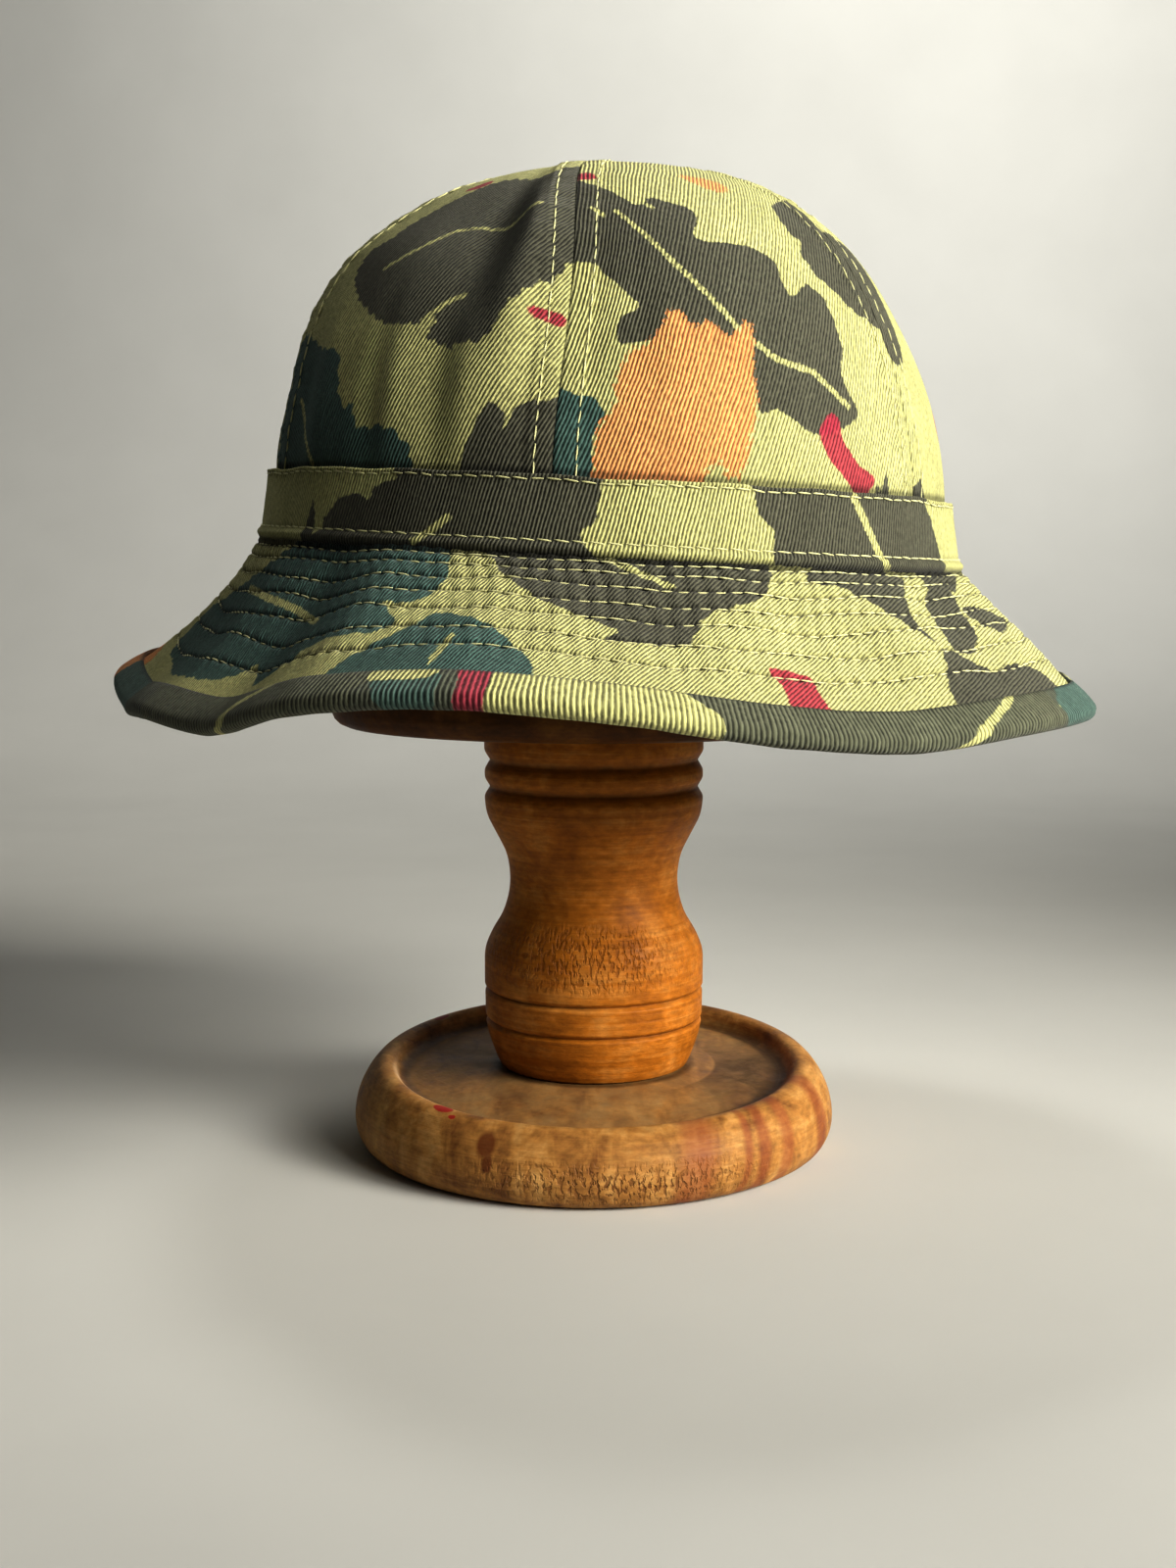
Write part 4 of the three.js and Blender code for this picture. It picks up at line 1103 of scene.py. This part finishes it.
# Azimuth in degrees and height in millimetres.
BAND_PRINT = [
    Motif("dark", [(222, -4), (222, 3), (225, 9), (229, 11), (232, 10), (233, 13), (237, 15), (236, 22),
                   (268, 22), (268, 15), (267, 7), (265, 4), (265, -4)], 0.6, 6.0,
          [(0.9, [(246, 6.5), (241, 0.5)])]),
    Motif("dark", [(217, -2), (219, 9), (220, 3), (220, -2)], 0.2),
    Motif("dark", [(290, 22), (290, 16), (291, 10), (293, 7), (295, -4), (329, -4), (329, 10), (327, 15),
                   (327, 22)], 0.3, 6.0,
          [(1.1, [(307.5, 16), (313.4, -1)])]),
    Motif("teal", [(352, -4), (354, 8), (360, 12), (366, 9), (372, 14), (380, 22), (396, 22), (392, 8),
                   (396, -4)], 0.6, 6.0),
    Motif("orange", [(408, -4), (410, 10), (420, 14), (428, 8), (430, -4)], 0.8, 2.6),
    Motif("dark", [(436, 22), (440, 10), (446, 14), (449, 22)], 0.5, 5.0),
    Motif("dark", [(92, -4), (96, 8), (104, 12), (112, 6), (118, 12), (122, 22), (140, 22), (138, 6),
                   (144, -4)], 0.6, 6.0),
    Motif("teal", [(160, 22), (164, 12), (174, 8), (182, 12), (190, 22)], 0.6, 6.0),
]


def strip_flat(radius):
    """The rule that lays a strip round the hat out flat: azimuth and height become millimetres from the
    front."""
    def rule(az, up):
        return np.stack([radius * np.radians(np.asarray(az, float) - FRONT), np.asarray(up, float)], -1)
    return rule


def laid_out(motifs, flat):
    """Motifs charted round the hat, taken to flat millimetres by a rule."""
    return [m._replace(corners=flat(*np.array(m.corners).T),
                       veins=[(w, flat(*np.array(v).T)) for w, v in m.veins]) for m in motifs]


def all_round(steps):
    """Azimuths from the back round to the back again, as a column."""
    return np.linspace(BACK, BACK + 360, steps + 1)[:, None]


def wander(az, seed, waves, size):
    """A closed, gently irregular line round the hat."""
    phases = np.random.default_rng(seed).uniform(0, 2 * math.pi, len(waves))
    return size * sum(np.sin(np.radians(az) * n + p) for n, p in zip(waves, phases)) / len(waves)


def band_point(az, up, out=0.0):
    """Points of the band's outer face in millimetres, `up` from its lower edge."""
    top = hump(up - BAND_HEIGHT, 1.6)
    lip = hump(up - BAND_LIP_UP, 1.3)
    relief = 0.5 * top + BAND_LIP_BULGE * lip + wander(az, 3, (7, 13, 22, 31), 0.5) * (0.4 + top)
    for row in (BAND_TOP_ROW, BAND_LOW_ROW):
        relief = relief - STITCH_SINK * hump(up - row, STITCH_SINK_WIDTH)
    relief = relief + BAND_PUCKER * np.sin(np.radians(az) * BAND_PUCKERS_ROUND) * hump(up - BAND_TOP_ROW, 2.5)
    r = BAND_LOW_R + (BAND_TOP_R - BAND_LOW_R) * up / BAND_HEIGHT + relief + out
    x, y = r * np.cos(np.radians(az)), r * np.sin(np.radians(az))
    lift = wander(az, 4, (5, 11, 17, 29), 0.5) * up / BAND_HEIGHT
    return np.stack([HAT_X + x, y, BAND_Z + BAND_RISE_PER_X * x + BAND_RISE_PER_Y * y + up + lift], -1)


# The strip's section: height up the band and place out of its face, all the way round.
band_up = np.linspace(-0.6, BAND_HEIGHT - 0.4, 40)
BAND_SECTION = [(-1.1, -0.8), (-1.0, -0.3), *((up, 0.0) for up in band_up), (BAND_HEIGHT, -0.35),
                (BAND_HEIGHT, -0.85), *((up, -CLOTH) for up in band_up[::-5]), (-0.9, -CLOTH)]
section_up, section_out = np.array(BAND_SECTION).T
az = all_round(BAND_STEPS)
band_flat = strip_flat(BAND_LOW_R)
band_loops = band_point(az[:-1], section_up, section_out)
band_places = band_flat(*np.broadcast_arrays(az, section_up))
# Painted shade along both stitch rows and under the band's rolled lip.
band_painted_shade = 0.35 * hump(section_up - BAND_TOP_ROW, 0.5) + 0.3 * hump(section_up - BAND_LOW_ROW, 0.7)
band_painted_shade = np.broadcast_to(band_painted_shade + hump(section_up + 0.9, 0.9), band_loops.shape[:2])
band = sewn_wall("hat_band_cloth", band_loops, band_places, BAND_WEAVE, twill,
                 laid_out(BAND_PRINT, band_flat), band_painted_shade, True)
finish_piece(band, "printed_cotton", "hat_band")

band_az = np.linspace(BACK, BACK + 360, BAND_ROW_STEPS, endpoint=False)
band_rows = []
for up in (BAND_TOP_ROW, BAND_LOW_ROW):
    line = band_point(band_az, up, STITCH_LIFT)
    band_rows.append((line, outward_of(line, band_point(band_az, up, 1.0)), True))
band_stitches = sew("hat_band_stitches", band_rows, pale_thread)
finish_piece(band_stitches, "printed_cotton")


# Brim
# Two layers of the printed twill, cut as a wide ring and quilted together with seven rows of stitches, closer
# together by the band. It falls from the band in soft waves.
BRIM_CLOTH = 2.0
BRIM_START_R = 93.2
BRIM_START_DROP = 1.2
BINDING_END = 2.4
BINDING_WIDTH = 10
BRIM_STEPS = 744
BRIM_START = -1.5
BRIM_UNDER_COLUMNS = 18
BRIM_ROW_STEPS = 900
BRIM_WEAVE = (57, 0.85)
BRIM_SINK = 0.55
BRIM_PUCKER = 0.3
BRIM_PUCKERS_ROUND = 134
BRIM_PUCKERS_MORE = 5
BRIM_PUCKER_WIDTH = 2.2

# The brim laid flat is part of a ring: its inner radius, and its turn for each degree round the hat.
BRIM_FLAT_R = 124
BRIM_FLAT_TURN = 0.75

# How far down the slope each stitch row runs, as a share of the slope's length.
BRIM_ROW_SHARES = np.array([0.028, 0.087, 0.171, 0.267, 0.37, 0.5, 0.635])

# Waves of the brim at even steps from azimuth 0: length down the slope, fall below the horizontal and flare.
BRIM_WAVE_STEP = 15
BRIM_WAVES = np.array([
    (49, 45, 2), (51, 45, 2), (52, 44, 4), (53, 43, 6), (54, 45, 9), (54, 44, 9), (54, 41, 9), (54, 39, 10),
    (55, 41, 11), (55, 45, 12), (56, 45, 13), (56, 42, 14), (57, 42, 14), (57, 50, 14), (57, 47, 12),
    (57, 48, 10), (56, 38, 8), (55, 34, 7), (55, 36, 6), (55, 42, 5), (54, 46, 3), (53, 43, 0), (52, 42, -2),
    (49, 46, 1),
], float)

# Small folds of the brim: azimuth, millimetres from the band, half spreads of both and depth.
BRIM_FOLDS = [
    (228, 18, 5, 20, 1.4), (239, 20, 6, 20, -1.4), (224, 38, 5, 12, 1.0), (252, 30, 6, 14, -1.2),
    (296, 22, 5, 12, 1.3), (306, 26, 4, 14, -0.9), (318, 12, 5, 14, 1.2), (206, 26, 5, 16, 1.1),
    (340, 24, 6, 16, -0.9), (30, 24, 8, 16, 1.2), (75, 28, 8, 16, -1.2), (120, 22, 8, 16, 1.2),
    (160, 28, 6, 16, 1.1), (270, 18, 6, 14, 0.7), (282, 30, 5, 12, -0.6),
]

# Azimuth in degrees and millimetres down the slope from the band.
BRIM_PRINT = [
    Motif("teal", [(212, 5), (219, -2), (235, -3), (246, 0), (248, 8), (248, 14), (246, 19), (242, 20),
                   (245, 26), (243, 30), (235, 32), (231, 37), (227, 42), (224, 35), (221, 40), (216, 43),
                   (205, 43), (190, 39), (187, 32), (187, 24), (196, 17), (205, 11)], 0.7, 7.0,
          [(1.0, [(207, 14.5), (217, 17), (225, 19), (231, 23)])]),
    Motif("teal", [(241, 45), (243, 37), (246, 31), (248, 27), (250, 23), (254, 25), (257, 28), (259, 32),
                   (262, 40), (261, 52), (244, 52)], 0.5, 6.0,
          [(0.9, [(253, 32), (252, 42)])]),
    Motif("dark", [(254, -4), (254, 4), (257, 10), (262, 17), (270, 24), (269, 28), (277, 28), (279, 23),
                   (281, 17), (287, 12), (290, 8), (290, -4)], 0.6, 6.0,
          [(0.9, [(268, 0), (272, 3.5), (277, 8.5)])]),
    Motif("dark", [(297, 4.3), (300.3, -1.5), (308, -1), (313, 1), (316.5, 2.5), (313, 9), (310.8, 16),
                   (311.3, 24.5), (309.3, 19.5), (307.5, 15.8), (302.3, 6.5)], 0.2, 6.0),
    Motif("dark", [(322, -3), (336, -3), (334, 3), (327, 8), (325, 13), (331, 14), (336, 19), (328, 23),
                   (325, 19), (323, 17), (321, 23), (317, 28), (314, 26), (316, 16), (317, 11),
                   (321, 5)], 0.4, 5.0,
          [(0.7, [(326, 8), (323, 16)])]),
    Motif("dark", [(312, 26), (315, 30), (318, 34), (323, 33), (327, 36), (328, 42), (320, 52), (308, 52),
                   (308, 39), (310, 32)], 0.5, 6.0),
    Motif("red", [(286, 33), (291, 34), (291, 39), (292, 52), (287, 52), (287, 39)], 0.2),
    Motif("orange", [(176, 46), (180, 40), (185, 44), (184, 56), (174, 56)], 0.6, 2.6),
    Motif("teal", [(344, 52), (346, 36), (354, 30), (362, 34), (366, 24), (374, 30), (378, 42),
                   (374, 52)], 0.7, 6.5),
    Motif("dark", [(366, -4), (368, 8), (376, 16), (386, 12), (394, 20), (402, 10), (404, -4)], 0.7, 6.5,
          [(0.8, [(384, 0), (388, 12)])]),
    Motif("orange", [(390, 44), (394, 32), (404, 30), (408, 40), (402, 50)], 0.8, 2.6),
    Motif("dark", [(412, 52), (414, 34), (422, 26), (430, 30), (438, 22), (444, 34), (440, 44),
                   (442, 52)], 0.7, 6.5,
          [(0.8, [(424, 46), (432, 34)])]),
    Motif("red", [(420, 10), (426, 14), (424, 18), (418, 14)], 0.2),
    Motif("teal", [(94, -4), (96, 10), (104, 18), (112, 12), (120, 22), (130, 14), (134, -4)], 0.7, 6.5,
          [(0.8, [(106, 0), (116, 14)])]),
    Motif("dark", [(112, 52), (116, 38), (126, 32), (136, 38), (146, 32), (152, 44), (150, 52)], 0.7, 6.5),
    Motif("orange", [(146, 12), (154, 8), (162, 12), (160, 22), (150, 24)], 0.8, 2.6),
    Motif("dark", [(164, 30), (170, 22), (178, 26), (176, 38), (168, 42)], 0.6, 6.0),
]


def brim_wave(column, az):
    """A smooth closed curve through one column of the waves' table."""
    rows = BRIM_WAVES[:, column]
    place = (az % 360) / BRIM_WAVE_STEP
    first = np.floor(place).astype(int)
    f = place - first
    before, here, after, beyond = (rows[(first + step) % len(rows)] for step in (-1, 0, 1, 2))
    slope_in, slope_out, rise = (after - before) / 2, (beyond - here) / 2, after - here
    bend = 3 * rise - 2 * slope_in - slope_out
    return here + f * (slope_in + f * (bend + f * (slope_in + slope_out - 2 * rise)))


def brim_point(az, along, out=0.0):
    """Points of the brim in millimetres: `along` its slope from the band and `out` of its middle surface."""
    fall, flare = np.radians(brim_wave(1, az)), np.radians(brim_wave(2, az))
    share = along / brim_wave(0, az)
    angle = fall + flare * (1 - 2 * share)
    mean = fall + flare * (1 - share)
    r = BRIM_START_R + along * np.cos(mean) + out * np.sin(angle)
    drop = BRIM_START_DROP + along * np.sin(mean) - out * np.cos(angle)
    c, s = np.cos(np.radians(az)), np.sin(np.radians(az))
    foot = BAND_Z + BRIM_START_R * (BAND_RISE_PER_X * c + BAND_RISE_PER_Y * s)
    return np.stack([HAT_X + r * c, r * s, foot - drop], -1)


def sewn_rows(az):
    """How far down the slope each stitch row runs in millimetres: hand-guided and so not quite even."""
    share = BRIM_ROW_SHARES.reshape(-1, *[1] * np.ndim(az))
    stray = np.stack([wander(az, 20 + n, (3, 5, 8, 14, 23), 1.3) for n in range(len(share))])
    return brim_wave(0, az) * share + stray * np.minimum(1, 4 * share)


def brim_folds(az, along):
    """How far the folds of the soft brim stand out."""
    out = wander(az, 40, (9, 16, 27, 44), 0.5) * np.sin(np.clip(along / 50, 0, 1) * math.pi)
    for middle, place, spread_az, spread_along, depth in BRIM_FOLDS:
        out = out - depth * hump(azimuth_from(az, middle), spread_az) * hump(along - place, spread_along)
    return out


def sunk_rows(az, along):
    """How deep the cloth lies in the sewn rows, from 0 to 1."""
    return hump(along - sewn_rows(az), 0.5).sum(0)


def quilting(az, along):
    """The cloth puffed between the rows that its stitches press in, with the fine puckers that the thread
    draws.
    """
    out = -BRIM_SINK * sunk_rows(az, along)
    for n, row in enumerate(sewn_rows(az)):
        pucker = BRIM_PUCKER * np.sin(np.radians(az) * (BRIM_PUCKERS_ROUND + BRIM_PUCKERS_MORE * n) + n)
        out = out + pucker * hump(along - row, BRIM_PUCKER_WIDTH)
    return out


def brim_flat(az, along):
    """The brim's cone cut at the back and laid flat, its front at the bottom."""
    turn = BRIM_FLAT_TURN * np.radians(np.asarray(az, float) - FRONT)
    reach = BRIM_FLAT_R + np.asarray(along, float)
    return np.stack([reach * np.sin(turn), -reach * np.cos(turn)], -1)


az = all_round(BRIM_STEPS)
brim_reach = brim_wave(0, az) - BINDING_END - 0.3
# The columns of the upper face follow the stitch rows, closer together beside each row.
stops = np.concatenate([np.full((1, *az.shape), BRIM_START), sewn_rows(az), brim_reach[None]])
last = len(BRIM_ROW_SHARES)
steps = [(0, f) for f in (0, 0.3, 0.6, 0.8, 0.92)]
steps += [(n, f) for n in range(1, last) for f in (0, 0.04, 0.09, 0.2, 0.35, 0.5, 0.65, 0.8, 0.91, 0.96)]
steps += [(last, f) for f in (0, 0.015, 0.035, 0.08, 0.16, 0.3, 0.5, 0.75, 1)]
brim_along = np.concatenate([stops[n] * (1 - f) + stops[n + 1] * f for n, f in steps], 1)
brim_under = brim_reach + (BRIM_START - brim_reach) * np.linspace(0, 1, BRIM_UNDER_COLUMNS)
upper = brim_point(az, brim_along, BRIM_CLOTH / 2 + brim_folds(az, brim_along) + quilting(az, brim_along))
lower = brim_point(az, brim_under, -BRIM_CLOTH / 2 + brim_folds(az, brim_under))
brim_loops = np.concatenate([upper, lower], 1)[:-1]
brim_places = brim_flat(*np.broadcast_arrays(az, np.concatenate([brim_along, brim_under], 1)))
# Painted shade along the stitch rows, and a painted shadow on the brim under the band's lip.
brim_painted_shade = 0.75 * sunk_rows(az, brim_along) + 1.1 * hump(brim_along - 0.5, 1.3)
brim_painted_shade = np.concatenate([brim_painted_shade, np.zeros_like(brim_under)], 1)[:-1]
brim = sewn_wall("brim_cloth", brim_loops, brim_places, BRIM_WEAVE, twill, laid_out(BRIM_PRINT, brim_flat),
                 brim_painted_shade, True)
finish_piece(brim, "printed_cotton", "brim")

brim_az = np.linspace(BACK, BACK + 360, BRIM_ROW_STEPS, endpoint=False)
brim_rows = []
for along in sewn_rows(brim_az):
    out = BRIM_CLOTH / 2 + brim_folds(brim_az, along) + quilting(brim_az, along) + STITCH_LIFT
    line = brim_point(brim_az, along, out)
    brim_rows.append((line, outward_of(line, brim_point(brim_az, along, out + 1)), True))
brim_stitches = sew("brim_stitches", brim_rows, pale_thread)
finish_piece(brim_stitches, "printed_cotton")


# Brim binding
# A bias strip of the printed cloth folded over the brim's raw edge and sewn through, so that its ribs run
# straight across the edge. It is the plump outer roll of the hat.
BINDING_CLOTH = 0.9
BINDING_INNER = BRIM_CLOTH / 2 + 0.3
BINDING_OUTER = BINDING_INNER + BINDING_CLOTH
BINDING_STEPS = 820
BINDING_R = 132
BINDING_WEAVE = (90, 1.19)
BINDING_COLOURS = CLOTH_COLOURS | {"teal": "4B6662", "dark": "5A5D4F", "red": "9C3E4C"}

# Azimuth in degrees and millimetres back from the outer edge; below zero is the underside.
BINDING_PRINT = [
    Motif("orange", [(170, -14), (168, 14), (183, 14), (184, 4), (182, -14)], 0.6, 2.6),
    Motif("teal", [(184, -14), (185, 14), (206, 14), (212, 4), (208, -14)], 0.5, 5.0),
    Motif("dark", [(208, -14), (205, 14), (247, 14), (247, 8), (249, -14)], 0.3, 6.0,
          [(1.1, [(227.5, -14), (228, 0), (231, 6), (236, 12)])]),
    Motif("teal", [(247, -14), (247, 4), (253, 6), (256, 14), (259, 14), (257, -14)], 0.4, 5.0),
    Motif("dark", [(253, 14), (254.5, 5), (254, -14), (257, -14), (257, 14)], 0.5, 3.0),
    Motif("red", [(255.3, 14), (256.2, 4), (255.7, -14), (258, -14), (258.8, 14)], 0.4, 3.0),
    Motif("dark", [(280.5, -14), (279.3, 2), (278, 14), (324, 14), (322, 4), (323, -14)], 0.4, 6.0,
          [(1.0, [(303, -3), (314, 8), (318, 14)])]),
    Motif("teal", [(323, -14), (322, 4), (324, 14), (346, 14), (342, -14)], 0.4, 5.0),
    Motif("dark", [(368, -14), (366, 14), (392, 14), (396, 2), (390, -14)], 0.4, 5.0),
    Motif("orange", [(404, -14), (403, 14), (416, 14), (418, -14)], 0.6, 2.6),
    Motif("teal", [(428, -14), (430, 14), (449, 14), (449, -14)], 0.4, 5.0),
    Motif("dark", [(100, -14), (104, 14), (132, 14), (128, -14)], 0.4, 5.0),
    Motif("red", [(146, -14), (145, 14), (151, 14), (152, -14)], 0.3, 4.0),
]


# The strip's U section: place back from the outer edge, out of the brim's middle, and flat place across it.
BINDING_LIP = 0.3
BINDING_BEND = 3.0
edge_turn = np.linspace(math.pi / 2, -math.pi / 2, 15)
over = [(back, BINDING_OUTER, back) for back in np.linspace(BINDING_WIDTH - BINDING_LIP, BINDING_BEND, 8)]
edge = [(BINDING_END * (1 - math.cos(a)), BINDING_OUTER * math.sin(a), BINDING_END * math.sin(a))
        for a in edge_turn]
under = [(back, -BINDING_OUTER, -back) for back in np.linspace(BINDING_BEND, BINDING_WIDTH - BINDING_LIP, 6)]
inside = [(BINDING_WIDTH, -BINDING_INNER, -10), (6, -BINDING_INNER, -6), (BINDING_END, -BINDING_INNER, -2),
          (BINDING_END, BINDING_INNER, 2), (6, BINDING_INNER, 6), (BINDING_WIDTH, BINDING_INNER, 10),
          (BINDING_WIDTH, BINDING_OUTER - BINDING_LIP, 10)]
section_back, section_out, section_flat = np.array(over + edge + under + inside).T
az = all_round(BINDING_STEPS)
lumps = wander(az, 60, (19, 33, 47, 71), 0.3)
puffed = np.sin(np.clip(np.abs(section_flat) / BINDING_WIDTH, 0, 1) * math.pi)
swell = np.sign(section_out) * (np.abs(section_out) > BINDING_INNER + 0.1) * puffed * (0.35 + lumps)
on_brim = np.maximum(brim_wave(0, az) - section_back, 0)
ride_up = brim_folds(az, np.minimum(on_brim, brim_wave(0, az) - BINDING_END))
binding_loops = brim_point(az, on_brim, section_out + swell + 0.8 * ride_up)[:-1]
binding_flat = strip_flat(BINDING_R)
binding_places = binding_flat(*np.broadcast_arrays(az, section_flat))
binding_cloth = printed_twill("printed_bias_cotton", BINDING_COLOURS)
# Painted shade in the creases where the binding's edges meet the brim.
binding_painted_shade = np.broadcast_to(np.clip(section_back - BINDING_WIDTH + 1, 0, 1), binding_loops.shape[:2])
binding = sewn_wall("brim_binding_cloth", binding_loops, binding_places, BINDING_WEAVE, binding_cloth,
                    laid_out(BINDING_PRINT, binding_flat), binding_painted_shade, True)
finish_piece(binding, "binding_cotton", "brim_binding")
